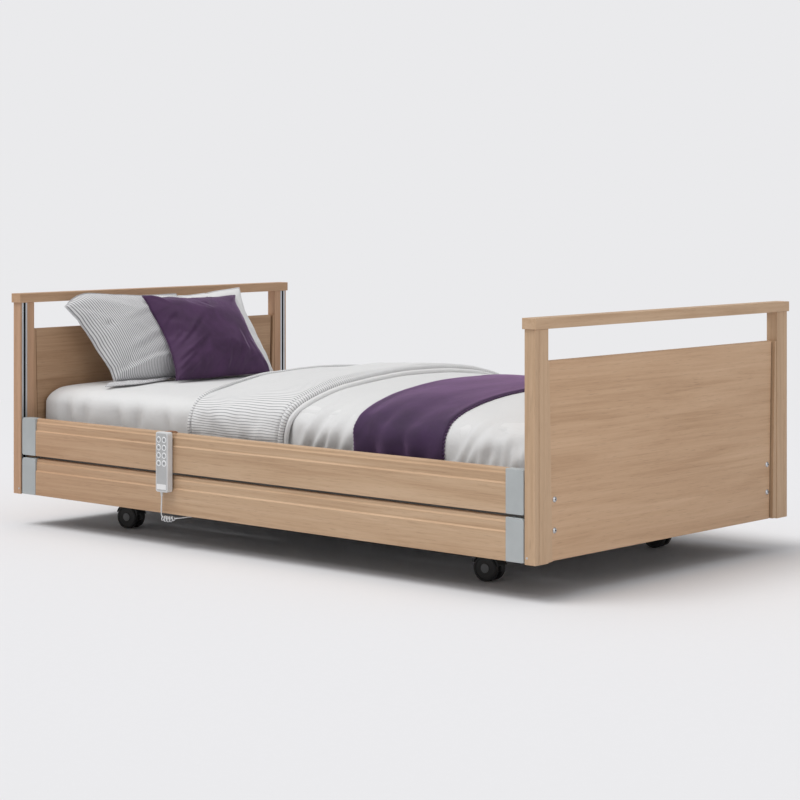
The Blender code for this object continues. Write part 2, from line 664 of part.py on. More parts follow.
cover("duvet_thigh_section", (0.086, 0.3285), drape(), DUVET_INNER, WHITE_LINEN, THIGH_X)
cover("duvet_calf_section", (0.3315, 1.030), drape(), DUVET_INNER, WHITE_LINEN, CALF_X)
cover("bed_runner", (0.336, 0.690), drape(RUNNER_THICK), RUNNER_INNER, PURPLE, CALF_X)

PILLOW_THICK = 0.070
# (x, z) middle of the bottom and top edges
PILLOW_LEAN = ((-0.972, 0.463), (-1.006, 0.745))
CUSHION_LEAN = ((-0.838, 0.463), (-0.926, 0.735))


def pillow(name, y_span, lean, mat):
    """A slab standing above the mattress and leaning towards the head."""
    low, high = Vector(lean[0]), Vector(lean[1])
    along = (high - low).normalized()
    half = Vector((along.y, -along.x)) * PILLOW_THICK / 2
    outline = [low + half, high + half, high - half, low - half]
    finish(name, plate("Y", [outline], y_span), mat, origin=(BACK_X, 0.0, HINGE_Z))


pillow("striped_pillow", (-0.500, -0.010), PILLOW_LEAN, STRIPED)
pillow("white_pillow", (0.000, 0.430), PILLOW_LEAN, WHITE_LINEN)
pillow("purple_cushion", (-0.190, 0.310), CUSHION_LEAN, PURPLE)
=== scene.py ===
"""Looks of the low profiling bed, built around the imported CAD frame."""

import json
import math

import bmesh
import bpy
import numpy as np
from mathutils import Matrix, Vector, noise

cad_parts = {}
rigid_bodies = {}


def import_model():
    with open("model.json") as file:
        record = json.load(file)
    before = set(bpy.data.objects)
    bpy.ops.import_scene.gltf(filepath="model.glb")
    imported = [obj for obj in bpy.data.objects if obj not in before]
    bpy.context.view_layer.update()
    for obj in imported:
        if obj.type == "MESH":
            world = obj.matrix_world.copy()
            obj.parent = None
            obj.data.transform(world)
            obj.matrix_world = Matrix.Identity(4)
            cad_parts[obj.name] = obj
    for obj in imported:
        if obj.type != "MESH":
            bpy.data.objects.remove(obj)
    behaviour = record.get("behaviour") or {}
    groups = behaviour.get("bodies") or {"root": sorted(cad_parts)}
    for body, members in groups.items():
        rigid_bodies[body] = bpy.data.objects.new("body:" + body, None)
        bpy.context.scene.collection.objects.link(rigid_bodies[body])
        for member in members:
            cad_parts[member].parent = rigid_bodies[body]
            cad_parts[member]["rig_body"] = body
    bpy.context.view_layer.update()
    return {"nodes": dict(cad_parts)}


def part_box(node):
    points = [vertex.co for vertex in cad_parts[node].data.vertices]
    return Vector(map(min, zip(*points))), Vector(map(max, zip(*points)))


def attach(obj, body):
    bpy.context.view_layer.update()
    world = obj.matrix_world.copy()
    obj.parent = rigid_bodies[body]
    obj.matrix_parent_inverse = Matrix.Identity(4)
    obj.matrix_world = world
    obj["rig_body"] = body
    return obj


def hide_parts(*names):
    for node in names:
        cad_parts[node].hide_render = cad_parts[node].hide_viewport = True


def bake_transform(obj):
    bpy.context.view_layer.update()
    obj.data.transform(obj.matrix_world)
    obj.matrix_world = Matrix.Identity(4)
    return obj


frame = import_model()
NODES = frame["nodes"]
SCENE = bpy.context.scene
for name in ("Cube", "Light", "Camera"):
    if name in bpy.data.objects and name not in NODES:
        bpy.data.objects.remove(bpy.data.objects[name], do_unlink=True)


# =============================================================== materials
class Shader:
    """A material under construction: each call adds one shader node."""

    def __init__(self, name):
        self.mat = bpy.data.materials.new(name)
        self.mat.use_nodes = True
        self.tree = self.mat.node_tree
        self.tree.nodes.clear()
        self.out = self.tree.nodes.new("ShaderNodeOutputMaterial")
        self.bsdf = self.tree.nodes.new("ShaderNodeBsdfPrincipled")
        self.tree.links.new(self.bsdf.outputs[0], self.out.inputs[0])

    def put(self, socket, value):
        if isinstance(value, bpy.types.NodeSocket):
            self.tree.links.new(value, socket)
        elif isinstance(value, (tuple, list)) and len(value) == 3 and socket.type == "RGBA":
            socket.default_value = (*value, 1.0)
        else:
            socket.default_value = value

    def node(self, kind, inputs=None, out=0, **props):
        n = self.tree.nodes.new(kind)
        for k, v in props.items():
            setattr(n, k, v)
        for k, v in (inputs or {}).items():
            self.put(n.inputs[k], v)
        return n.outputs[out]

    def math(self, op, a, b=None, c=None, clamp=False):
        n = self.tree.nodes.new("ShaderNodeMath")
        n.operation = op
        n.use_clamp = clamp
        for i, v in enumerate((a, b, c)):
            if v is not None:
                self.put(n.inputs[i], v)
        return n.outputs[0]

    def coords(self, which="Object", scale=(1, 1, 1), offset=(0, 0, 0)):
        tex = self.node("ShaderNodeTexCoord", out=which)
        return self.node("ShaderNodeMapping", {"Vector": tex, "Scale": scale, "Location": offset})

    def noise(self, vector, scale, detail=2.0, rough=0.5, distortion=0.0):
        return self.node("ShaderNodeTexNoise", {"Vector": vector, "Scale": scale, "Detail": detail, "Roughness": rough, "Distortion": distortion})

    def ramp(self, fac, stops):
        n = self.tree.nodes.new("ShaderNodeValToRGB")
        while len(n.color_ramp.elements) < len(stops):
            n.color_ramp.elements.new(0.5)
        for e, (pos, col) in zip(n.color_ramp.elements, stops):
            e.position = pos
            e.color = (*col, 1.0) if not isinstance(col, float) else (col, col, col, 1.0)
        self.put(n.inputs[0], fac)
        return n.outputs[0]

    def mix(self, fac, a, b, blend="MIX"):
        n = self.tree.nodes.new("ShaderNodeMix")
        n.data_type = "RGBA"
        n.blend_type = blend
        self.put(n.inputs[0], fac)
        self.put(n.inputs[6], a)
        self.put(n.inputs[7], b)
        return n.outputs[2]

    def range(self, value, a, b, c=0.0, d=1.0):
        return self.node("ShaderNodeMapRange", {"Value": value, "From Min": a, "From Max": b, "To Min": c, "To Max": d})

    def bump(self, height, strength, distance, normal=None):
        inputs = {"Height": height, "Strength": strength, "Distance": distance}
        if normal is not None:
            inputs["Normal"] = normal
        return self.node("ShaderNodeBump", inputs)

    def done(self, **inputs):
        for k, v in inputs.items():
            self.put(self.bsdf.inputs[k.replace("_", " ")], v)
        return self.mat


def oak(name, axis, light, mid, dark, seed=0.0, contrast=1.0, head_tint=None):
    """Lacquered oak with its grain along one axis: broad tone, figure, fine streaks and short open pores."""
    def stretched(along, across):
        return tuple(along if a == axis else across for a in "XYZ")

    s = Shader(name)
    off = (seed, seed * 1.7, seed * 0.6)
    tone = s.noise(s.coords("Object", stretched(0.9, 4.0), off), 1.0, 2.0, 0.5, 0.4)
    figure = s.noise(s.coords("Object", stretched(1.3, 26.0), off), 1.0, 5.0, 0.62, 0.9)
    streak = s.noise(s.coords("Object", stretched(2.5, 170.0), off), 1.0, 3.0, 0.6, 0.2)
    pores = s.noise(s.coords("Object", stretched(22.0, 620.0), off), 1.0, 1.0, 0.5)
    mixed = s.math("ADD", s.math("MULTIPLY", figure, 0.50), s.math("ADD", s.math("MULTIPLY", tone, 0.22), s.math("MULTIPLY", streak, 0.28)))
    half = 0.11 / contrast
    colour = s.ramp(s.range(mixed, 0.5 - half, 0.5 + half), [(0.0, dark), (0.45, mid), (1.0, light)])
    pore = s.range(pores, 0.62, 0.72)
    colour = s.mix(s.math("MULTIPLY", pore, 0.30), colour, tuple(c * 0.55 for c in dark))
    if head_tint:
        # the wood is tinted darker and warmer towards the head end
        s.node("ShaderNodeSeparateXYZ", {0: s.coords("Object")})
        x = s.tree.nodes[-1].outputs[0]
        colour = s.mix(s.range(x, -0.2, -0.95), colour, head_tint, "MULTIPLY")
    bump = s.bump(s.math("SUBTRACT", s.math("MULTIPLY", streak, 0.5), pore), 0.25, 0.0003)
    rough = s.range(streak, 0.3, 0.7, 0.40, 0.52)
    return s.done(Base_Color=colour, Roughness=rough, Normal=bump, Specular_IOR_Level=0.35)


LIGHT, MID, DARK = (0.575, 0.402, 0.262), (0.515, 0.346, 0.216), (0.435, 0.278, 0.166)
P_LIGHT, P_MID, P_DARK = (0.615, 0.415, 0.264), (0.548, 0.354, 0.216), (0.458, 0.282, 0.162)
OAK_X = oak("oak_lengthwise", "X", LIGHT, MID, DARK, 0.0, 1.0, (0.96, 0.89, 0.85))
# paler copy of the lengthwise oak: painted highlight on the routed slopes
OAK_EDGE_HIGHLIGHT = oak("oak_routed_edge_painted_highlight", "X", tuple(c * 1.12 for c in LIGHT), tuple(c * 1.12 for c in MID), tuple(c * 1.12 for c in DARK), 0.0, 1.0, (0.96, 0.89, 0.85))
OAK_Y = oak("oak_cap", "Y", LIGHT, MID, DARK, 3.0)
OAK_HEAD_CAP = oak("oak_cap_head", "Y", tuple(c * k for c, k in zip(LIGHT, (0.96, 0.88, 0.84))), tuple(c * k for c, k in zip(MID, (0.96, 0.88, 0.84))), tuple(c * k for c, k in zip(DARK, (0.96, 0.88, 0.84))), 3.0)
OAK_Z = oak("oak_post", "Z", LIGHT, MID, DARK, 5.0, 0.75, (1.0, 0.90, 0.89))
# darker copy of the post oak for the head end fillers: painted shade of the headboard
OAK_FILL_HEAD_SHADED = oak("oak_filler_head_painted_shade", "Z", tuple(c * k for c, k in zip(LIGHT, (0.86, 0.77, 0.72))), tuple(c * k for c, k in zip(MID, (0.86, 0.77, 0.72))), tuple(c * k for c, k in zip(DARK, (0.86, 0.77, 0.72))), 6.0, 0.8)
OAK_PANEL = oak("oak_veneer", "Y", P_LIGHT, P_MID, P_DARK, 9.0, 0.8)
# darker copy of the panel veneer for the headboard: painted shade of its inner face
OAK_HEAD_SHADED = oak("oak_veneer_head_painted_shade", "Y", tuple(c * k for c, k in zip(P_LIGHT, (0.82, 0.79, 0.77))), tuple(c * k for c, k in zip(P_MID, (0.80, 0.77, 0.75))), tuple(c * k for c, k in zip(P_DARK, (0.78, 0.75, 0.73))), 14.0)


def plastic(name, rgb, rough=0.42, fine=900.0, depth=0.00008, spec=0.4):
    s = Shader(name)
    co = s.coords("Object")
    grain = s.noise(co, fine, 3.0, 0.6)
    patch = s.noise(co, 14.0, 3.0, 0.5)
    colour = s.mix(s.range(patch, 0.35, 0.65), tuple(c * 0.95 for c in rgb), tuple(min(1.0, c * 1.04) for c in rgb))
    return s.done(Base_Color=colour, Roughness=s.range(patch, 0.3, 0.7, rough - 0.05, rough + 0.06), Specular_IOR_Level=spec, Normal=s.bump(grain, 0.35, depth))


def metal(name, rgb, rough, scale, metallic=1.0, depth=0.00005):
    """Metal with fine lines along the direction in which scale is small."""
    s = Shader(name)
    lines = s.noise(s.coords("Object", scale), 1.0, 4.0, 0.6)
    blot = s.noise(s.coords("Object"), 9.0, 3.0, 0.5)
    colour = s.mix(s.range(lines, 0.3, 0.7), tuple(c * 0.90 for c in rgb), rgb)
    return s.done(Base_Color=colour, Metallic=metallic, Roughness=s.range(blot, 0.3, 0.7, rough - 0.04, rough + 0.05), Normal=s.bump(lines, 0.3, depth))


ENDCAP = plastic("end_cap_grey", (0.43, 0.455, 0.46), 0.45)
TRACK = metal("anodised_track", (0.62, 0.64, 0.66), 0.30, (900.0, 900.0, 6.0))
POWDER = plastic("powder_coat_grey", (0.33, 0.34, 0.35), 0.5, 1500.0, 0.0002)
CHROME = metal("chromed_rod", (0.78, 0.78, 0.79), 0.14, (20.0, 900.0, 900.0))
ZINC = metal("zinc_bolt", (0.62, 0.63, 0.65), 0.32, (500.0, 500.0, 500.0))
MOTOR = plastic("motor_black", (0.05, 0.05, 0.054), 0.5)
FORK = plastic("castor_nylon_black", (0.030, 0.030, 0.031), 0.40)
TYRE = plastic("castor_tread", (0.029, 0.029, 0.029), 0.55, 600.0, 0.0002)
HUB = plastic("castor_hub_grey", (0.16, 0.165, 0.17), 0.4)
SHELL = plastic("handset_shell", (0.665, 0.67, 0.675), 0.38)
FACE = plastic("handset_face", (0.46, 0.465, 0.47), 0.42)
RING = plastic("handset_key_ring", (0.86, 0.87, 0.88), 0.4)
PADKEY = plastic("handset_key_pad", (0.42, 0.43, 0.44), 0.5)
# dark brown for the narrow strip beside each panel: painted shade in the recess
PAINTED_SHADE_BROWN = plastic("painted_shade_brown", (0.040, 0.020, 0.012), 0.8)
# black for the inside of the track's channel: painted shade
CHANNEL_SHADE_BLACK = plastic("track_channel_painted_shade", (0.03, 0.03, 0.032), 0.5)
MARK = plastic("handset_mark", (0.08, 0.085, 0.09), 0.5)
LABEL = plastic("handset_label", (0.82, 0.82, 0.82), 0.45)
CORD = plastic("cord_white", (0.70, 0.71, 0.72), 0.45)
HOOK = plastic("hook_brown", (0.30, 0.13, 0.055), 0.45)


def weave(s, uv, pitch, strength=0.35, depth=0.0004):
    """Bump of plain-woven threads at the given pitch, from a cloth's own coordinates in metres."""
    sep = s.node("ShaderNodeSeparateXYZ", {0: uv})
    n = s.tree.nodes[-1]
    u, v = n.outputs[0], n.outputs[1]
    k = 2 * math.pi / pitch
    wu = s.math("SINE", s.math("MULTIPLY", u, k))
    wv = s.math("SINE", s.math("MULTIPLY", v, k))
    return s.math("MULTIPLY", wu, wv)


def linen(name, rgb, stripe=None, stripe_rgb=(0.3, 0.3, 0.33), duty=0.32, across="u", sheen=0.2, slub=0.06, pitch=0.0011, wave_amp=0.0012, crumple=0.35, grazing=0.0):
    """Woven cotton in the cloth's own coordinates (metres), with optional thin woven stripes."""
    s = Shader(name)
    uv = s.node("ShaderNodeTexCoord", out="UV")
    s.node("ShaderNodeSeparateXYZ", {0: uv})
    sep = s.tree.nodes[-1]
    u, v = sep.outputs[0], sep.outputs[1]
    uv3 = uv
    weft = s.noise(s.node("ShaderNodeMapping", {"Vector": uv3, "Scale": (60.0, 900.0, 1.0)}), 1.0, 2.0, 0.6)
    warp = s.noise(s.node("ShaderNodeMapping", {"Vector": uv3, "Scale": (900.0, 60.0, 1.0)}), 1.0, 2.0, 0.6)
    slubs = s.math("ADD", s.math("MULTIPLY", weft, 0.5), s.math("MULTIPLY", warp, 0.5))
    mottled = s.noise(uv3, 7.0, 4.0, 0.6)
    low = tuple(c * (1.0 - slub) for c in rgb)
    colour = s.mix(s.range(slubs, 0.35, 0.65), low, rgb)
    colour = s.mix(s.math("MULTIPLY", s.range(mottled, 0.35, 0.65), 0.5), colour, tuple(c * 0.965 for c in rgb))
    height = s.math("ADD", s.math("MULTIPLY", weave(s, uv3, pitch), 0.35), s.math("MULTIPLY", slubs, 0.8))
    if stripe:
        base = u if across == "u" else v
        along = v if across == "u" else u
        wobble = s.noise(s.node("ShaderNodeMapping", {"Vector": uv3, "Scale": (9.0, 9.0, 1.0)}), 1.0, 2.0, 0.5)
        line = s.math("ADD", base, s.math("MULTIPLY", s.math("SUBTRACT", wobble, 0.5), wave_amp * 2))
        saw = s.math("PINGPONG", s.math("DIVIDE", line, stripe / 2), 1.0)
        edge = s.math("ADD", saw, s.math("MULTIPLY", s.math("SUBTRACT", weft, 0.5), 0.25))
        on = s.range(edge, 1.0 - duty - 0.10, 1.0 - duty + 0.10)
        strength = 0.92
        if grazing:
            # painted sheen: the woven lines fade where the cloth is seen edge-on, as the nap's sheen washes them out
            facing = s.node("ShaderNodeLayerWeight", {"Blend": 0.5}, out="Facing")
            strength = s.range(facing, 0.55, 0.95, 0.92, 0.92 * (1 - grazing))
        colour = s.mix(s.math("MULTIPLY", on, strength), colour, stripe_rgb)
        height = s.math("ADD", height, s.math("MULTIPLY", on, -0.5))
    soft = s.noise(uv3, 17.0, 4.0, 0.55, 1.3)
    n1 = s.bump(soft, crumple, 0.004)
    n2 = s.bump(height, 0.45, 0.00035, n1)
    return s.done(Base_Color=colour, Roughness=0.88, Normal=n2, Sheen_Weight=sheen, Sheen_Roughness=0.45, Specular_IOR_Level=0.15)


def velvet(name, rgb, ribs=0.0, sheen=0.8, tint=(0.55, 0.42, 0.75)):
    """Short-pile cloth: dark base, a pale sheen at grazing angles and brushed patches."""
    s = Shader(name)
    uv = s.node("ShaderNodeTexCoord", out="UV")
    brushed = s.noise(uv, 9.0, 5.0, 0.62, 0.6)
    pile = s.noise(uv, 1400.0, 2.0, 0.6)
    colour = s.mix(s.range(brushed, 0.38, 0.62), tuple(c * 0.80 for c in rgb), tuple(c * 1.22 for c in rgb))
    height = s.math("MULTIPLY", pile, 0.6)
    if ribs:
        s.node("ShaderNodeSeparateXYZ", {0: uv})
        sep = s.tree.nodes[-1]
        rib = s.math("SINE", s.math("MULTIPLY", s.math("ADD", sep.outputs[0], sep.outputs[1]), 2 * math.pi / ribs))
        height = s.math("ADD", height, s.math("MULTIPLY", rib, 0.5))
        colour = s.mix(s.range(rib, -1.0, 1.0, 0.0, 0.22), colour, tuple(c * 0.5 for c in rgb))
    n1 = s.bump(s.noise(uv, 30.0, 4.0, 0.55), 0.25, 0.003)
    n2 = s.bump(height, 0.5, 0.0006, n1)
    return s.done(Base_Color=colour, Roughness=s.range(brushed, 0.3, 0.7, 0.62, 0.80), Normal=n2, Sheen_Weight=sheen, Sheen_Roughness=0.32, Sheen_Tint=tint, Specular_IOR_Level=0.25)


SHEET = linen("sheet_white", (0.765, 0.765, 0.765), slub=0.03)
DUVET = linen("duvet_white", (0.720, 0.720, 0.720), slub=0.04, crumple=0.30)
TURNED = linen("duvet_striped_side", (0.81, 0.81, 0.81), stripe=0.0079, stripe_rgb=(0.30, 0.30, 0.315), duty=0.27, grazing=0.55, wave_amp=0.0022)
ROLL = linen("duvet_rolled_edge", (0.80, 0.80, 0.80), stripe=0.0086, stripe_rgb=(0.34, 0.34, 0.355), duty=0.30, across="v")
ROLL_PLAIN = linen("duvet_under_edge", (0.77, 0.77, 0.77), slub=0.05)
PILLOW_STRIPE = linen("pillow_striped", (0.76, 0.76, 0.77), stripe=0.0066, stripe_rgb=(0.20, 0.20, 0.215), duty=0.33, wave_amp=0.0009)
PILLOW_WHITE = linen("pillow_white", (0.78, 0.78, 0.785), slub=0.03)
CUSHION = velvet("cushion_purple", (0.070, 0.032, 0.082), sheen=0.55, tint=(0.66, 0.48, 0.74))
RUNNER = velvet("runner_purple", (0.052, 0.026, 0.068), ribs=0.0046, sheen=1.0, tint=(0.90, 0.55, 1.0))


# ============================================================ mesh helpers
def add_object(name, verts, faces, uvs=None):
    me = bpy.data.meshes.new(name)
    me.from_pydata([tuple(map(float, v)) for v in verts], [], [tuple(f) for f in faces])
    if uvs is not None:
        layer = me.uv_layers.new(name="UVMap")
        layer.data.foreach_set("uv", np.asarray(uvs, np.float32).ravel())
    me.update()
    o = bpy.data.objects.new(name, me)
    SCENE.collection.objects.link(o)
    return o


def from_bm(name, bm):
    bmesh.ops.recalc_face_normals(bm, faces=bm.faces[:])
    me = bpy.data.meshes.new(name)
    bm.to_mesh(me)
    bm.free()
    o = bpy.data.objects.new(name, me)
    SCENE.collection.objects.link(o)
    return o


def finish_piece(o, mat, body, stands_for=(), smooth=True, weighted=True, angle=40.0):
    o.data.materials.clear()
    o.data.materials.append(mat)
    if smooth:
        o.data.shade_smooth()
        o.data.set_sharp_from_angle(angle=math.radians(angle))
        if weighted:
            o.modifiers.new("weighted", "WEIGHTED_NORMAL").keep_sharp = True
    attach(o, body)
    if stands_for:
        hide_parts(*stands_for)
    return o


def bevel_edges(bm, radius, segments=3, angle=30.0, where=None):
    edges = [e for e in bm.edges if len(e.link_faces) == 2 and e.calc_face_angle(0.0) > math.radians(angle) and (where is None or where(e))]
    if edges:
        bmesh.ops.bevel(bm, geom=edges, offset=radius, offset_type="OFFSET", segments=segments, profile=0.6, affect="EDGES", clamp_overlap=True)


def prism(axis, outline, a, b):
    """A straight solid of an outline given in the two axes across."""
    bm = bmesh.new()

    def at(u, v, w):
        return {"X": (w, u, v), "Y": (u, w, v), "Z": (u, v, w)}[axis]

    low = [bm.verts.new(at(u, v, a)) for u, v in outline]
    high = [bm.verts.new(at(u, v, b)) for u, v in outline]
    n = len(outline)
    bm.faces.new(low)
    bm.faces.new(high[::-1])
    for i in range(n):
        j = (i + 1) % n
        bm.faces.new((low[i], high[i], high[j], low[j]))
    bmesh.ops.recalc_face_normals(bm, faces=bm.faces[:])
    return bm


def box_bm(x0, x1, y0, y1, z0, z1):
    return prism("Z", [(x0, y0), (x1, y0), (x1, y1), (x0, y1)], z0, z1)


def arc(u, v, r, a0, a1, n):
    return [(u + r * math.cos(math.radians(a0 + (a1 - a0) * i / n)), v + r * math.sin(math.radians(a0 + (a1 - a0) * i / n))) for i in range(n + 1)]


def lathe(name, profile, n=48, matrix=Matrix.Identity(4)):
    """A turned solid about Z; the profile (r, z) runs from axis to axis or is a closed loop."""
    bm = bmesh.new()
    rings = []
    for r, z in profile:
        if r < 1e-7:
            rings.append([bm.verts.new((0, 0, z))])
        else:
            rings.append([bm.verts.new((r * math.cos(2 * math.pi * i / n), r * math.sin(2 * math.pi * i / n), z)) for i in range(n)])
    closed = profile[0][0] > 1e-7
    pairs = list(zip(rings, rings[1:])) + ([(rings[-1], rings[0])] if closed else [])
    for a, b in pairs:
        for i in range(n):
            j = (i + 1) % n
            if len(a) == 1 and len(b) > 1:
                bm.faces.new((a[0], b[j], b[i]))
            elif len(b) == 1 and len(a) > 1:
                bm.faces.new((a[i], a[j], b[0]))
            elif len(a) > 1:
                bm.faces.new((a[i], a[j], b[j], b[i]))
    bmesh.ops.transform(bm, verts=bm.verts, matrix=matrix)
    return from_bm(name, bm)


def catmull(points, count, closed=False):
    """Points spaced evenly along a smooth line through the given points."""
    p = np.asarray(points, float)
    ext = np.vstack([2 * p[0] - p[1], p, 2 * p[-1] - p[-2]])
    out = []
    for i in range(1, len(ext) - 2):
        p0, p1, p2, p3 = ext[i - 1:i + 3]
        for t in np.linspace(0, 1, 24, endpoint=False):
            out.append(0.5 * (2 * p1 + (p2 - p0) * t + (2 * p0 - 5 * p1 + 4 * p2 - p3) * t * t + (3 * p1 - p0 - 3 * p2 + p3) * t ** 3))
    out.append(p[-1])
    out = np.array(out)
    length = np.concatenate([[0], np.cumsum(np.linalg.norm(np.diff(out, axis=0), axis=1))])
    at = np.linspace(0, length[-1], count)
    return np.stack([np.interp(at, length, out[:, k]) for k in range(out.shape[1])], axis=1)


def tube(name, path, radius, n=10, cap=True):
    """A round cord along a path, carried without twisting."""
    path = np.asarray(path, float)
    tang = np.gradient(path, axis=0)
    tang /= np.linalg.norm(tang, axis=1)[:, None]
    ref = np.array([0.0, 0.0, 1.0]) if abs(tang[0][2]) < 0.9 else np.array([1.0, 0.0, 0.0])
    side = np.cross(tang[0], ref)
    side /= np.linalg.norm(side)
    verts, uvs_v, total = [], [], 0.0
    radii = radius if np.ndim(radius) else np.full(len(path), radius)
    for k, (p, t) in enumerate(zip(path, tang)):
        side = side - t * (side @ t)
        side /= np.linalg.norm(side)
        up = np.cross(t, side)
        for i in range(n):
            a = 2 * math.pi * i / n
            verts.append(p + radii[k] * (math.cos(a) * side + math.sin(a) * up))
        if k:
            total += np.linalg.norm(path[k] - path[k - 1])
        uvs_v.append(total)
    faces, uvs = [], []
    m = len(path)
    circ = 2 * math.pi * float(np.mean(radii))
    for k in range(m - 1):
        for i in range(n):
            j = (i + 1) % n
            faces.append((k * n + i, k * n + j, (k + 1) * n + j, (k + 1) * n + i))
            u0, u1 = circ * i / n, circ * (i + 1) / n
            uvs += [(u0, uvs_v[k]), (u1, uvs_v[k]), (u1, uvs_v[k + 1]), (u0, uvs_v[k + 1])]
    if cap:
        faces.append(tuple(range(n))[::-1])
        uvs += [(0, 0)] * n
        faces.append(tuple((m - 1) * n + i for i in range(n)))
        uvs += [(0, 0)] * n
    o = add_object(name, verts, faces, uvs)
    bm = bmesh.new()
    bm.from_mesh(o.data)
    bmesh.ops.recalc_face_normals(bm, faces=bm.faces[:])
    bm.to_mesh(o.data)
    bm.free()
    return o


def refined(node, mat, bevel=0.0008, segments=2, angle=28.0, name=None):
    """The CAD node's own shape with its edges broken, standing for the node."""
    bm = bmesh.new()
    bm.from_mesh(NODES[node].data)
    bmesh.ops.remove_doubles(bm, verts=bm.verts, dist=2e-6)
    bmesh.ops.dissolve_limit(bm, angle_limit=math.radians(0.5), verts=bm.verts[:], edges=bm.edges[:])
    bevel_edges(bm, bevel, segments, angle)
    o = from_bm(name or f"{node}_finish", bm)
    body = NODES[node]["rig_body"]
    return finish_piece(o, mat, body, (node,), angle=50.0)


# ================================================================ woodwork
POST_IN, POST_OUT, POST_Y0, POST_Y1 = 1.054, 1.090, 0.559, 0.616
CAP_Z0, CAP_Z1, CAP_OVER, POST_Z0 = 0.728, 0.758, 0.005, 0.103
PANEL_IN, PANEL_OUT, PANEL_TOP = 1.060, 1.080, 0.641

for end, sign in (("headboard", -1), ("footboard", 1)):
    short = end.replace("board", "")

    def xs(a, b):
        return tuple(sorted((sign * a, sign * b)))

    # cap rail
    bm = box_bm(*xs(POST_IN - CAP_OVER, POST_OUT + CAP_OVER), -(POST_Y1 + CAP_OVER), POST_Y1 + CAP_OVER, CAP_Z0, CAP_Z1)
    bevel_edges(bm, 0.0016, 3)
    finish_piece(from_bm(f"{end}_cap_rail", bm), OAK_HEAD_CAP if sign < 0 else OAK_Y, "bed", (f"{end}_frame",))
    for side, side_name in ((-1, "near"), (1, "far")):
        # the post is a core with a rebate for the track, and a lipping down its outer corner
        def pt(x, y):
            return (sign * x, side * y)

        seam = 0.5985
        core = [pt(POST_IN, POST_Y0), pt(POST_OUT, POST_Y0), pt(POST_OUT, seam - 0.0004), pt(1.0663, seam - 0.0004),
                pt(1.0663, 0.5877), pt(POST_IN, 0.5877)]
        lip = [pt(1.0663, seam + 0.0004), pt(POST_OUT, seam + 0.0004), pt(POST_OUT, POST_Y1), pt(POST_IN, POST_Y1), pt(POST_IN, 0.6103), pt(1.0663, 0.6103)]
        bm = prism("Z", core, POST_Z0, CAP_Z0 - 0.0004)
        bevel_edges(bm, 0.0009, 2)
        finish_piece(from_bm(f"{end}_{side_name}_post_core", bm), OAK_Z, "bed", (f"{end}_frame",))
        bm = prism("Z", lip, POST_Z0, CAP_Z0 - 0.0004)
        bevel_edges(bm, 0.0012, 2)
        finish_piece(from_bm(f"{end}_{side_name}_post_lipping", bm), OAK_Z, "bed", (f"{end}_frame",))
        track = refined(f"{short}_{side_name}_guide_track", TRACK, 0.0003, 2)
        # the faces inside the channel are black: painted shade deep in the channel
        track.data.materials.append(CHANNEL_SHADE_BLACK)
        t_lo, t_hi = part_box(f"{short}_{side_name}_guide_track")
        for poly in track.data.polygons:
            c = poly.center
            if t_lo.y + 0.0012 < c.y < t_hi.y - 0.0012 and min(abs(t_lo.x), abs(t_hi.x)) + 0.0008 < abs(c.x) < max(abs(t_lo.x), abs(t_hi.x)) - 0.0008 and abs(poly.normal.z) < 0.5:
                poly.material_index = 1
        # black strip at the bottom of the track's channel: painted shade
        bm = box_bm(*xs(1.0632, 1.0640), *sorted((side * 0.5935, side * 0.6045)), 0.106, CAP_Z0 - 0.002)
        bevel_edges(bm, 0.0002, 1)
        finish_piece(from_bm(f"{end}_{side_name}_track_glide", bm), CHANNEL_SHADE_BLACK, "bed")
        # tapered strip between post and panel, and a narrow dark strip beside the panel that paints the shade in the
        # recess
        yb, yt = (0.534, 0.547) if side < 0 else (0.532, 0.545)
        bm = prism("X", [(side * (yb + 0.0055), POST_Z0 + 0.002), (side * (POST_Y0 - 0.0003), POST_Z0 + 0.002), (side * (POST_Y0 - 0.0003), PANEL_TOP - 0.001), (side * (yt + 0.0055), PANEL_TOP - 0.001)], *xs(1.0552, 1.0886))
        bevel_edges(bm, 0.0008, 2)
        # the fillers at the head end take the darker oak: painted shade
        finish_piece(from_bm(f"{end}_{side_name}_post_filler", bm), OAK_FILL_HEAD_SHADED if sign < 0 else OAK_Z, "bed", (f"{end}_frame",))
        bm = prism("X", [(side * (yb - 0.002), 0.107), (side * (yb + 0.0075), 0.107), (side * (yt + 0.0075), PANEL_TOP - 0.004), (side * (yt - 0.002), PANEL_TOP - 0.004)], *xs(1.0652, 1.0748))
        bevel_edges(bm, 0.0004, 1)
        finish_piece(from_bm(f"{end}_{side_name}_painted_shade_strip", bm), PAINTED_SHADE_BROWN, "bed")
        # fixing screw low on the post's side
        spot = Matrix.Translation((sign * 1.062, side * POST_Y1, 0.121)) @ Matrix.Rotation(math.radians(90 if side < 0 else -90), 4, "X")
        screw = lathe(f"{end}_{side_name}_side_screw", [(0.0, 0.0002), (0.0012, 0.0002), (0.0014, 0.0007), (0.0030, 0.0005), (0.0034, 0.0), (0.0034, -0.004), (0.0, -0.004)], 20, spot)
        finish_piece(screw, ZINC, "bed")
        for z in (0.186, 0.269):
            # domed bolt through the panel into the bed frame, with a socket in its head
            spot = Matrix.Translation((sign * PANEL_OUT, side * 0.520, z)) @ Matrix.Rotation(math.radians(90 * sign), 4, "Y")
            head = lathe(f"{end}_{side_name}_bolt_{int(z * 1000)}",
                         [(0.0, 0.0012), (0.0024, 0.0012), (0.0026, 0.0042), (0.0040, 0.0040), (0.0060, 0.0031), (0.0076, 0.0016), (0.0084, 0.0), (0.0084, -0.003), (0.0, -0.003)], 32, spot)
            finish_piece(head, ZINC, "bed")
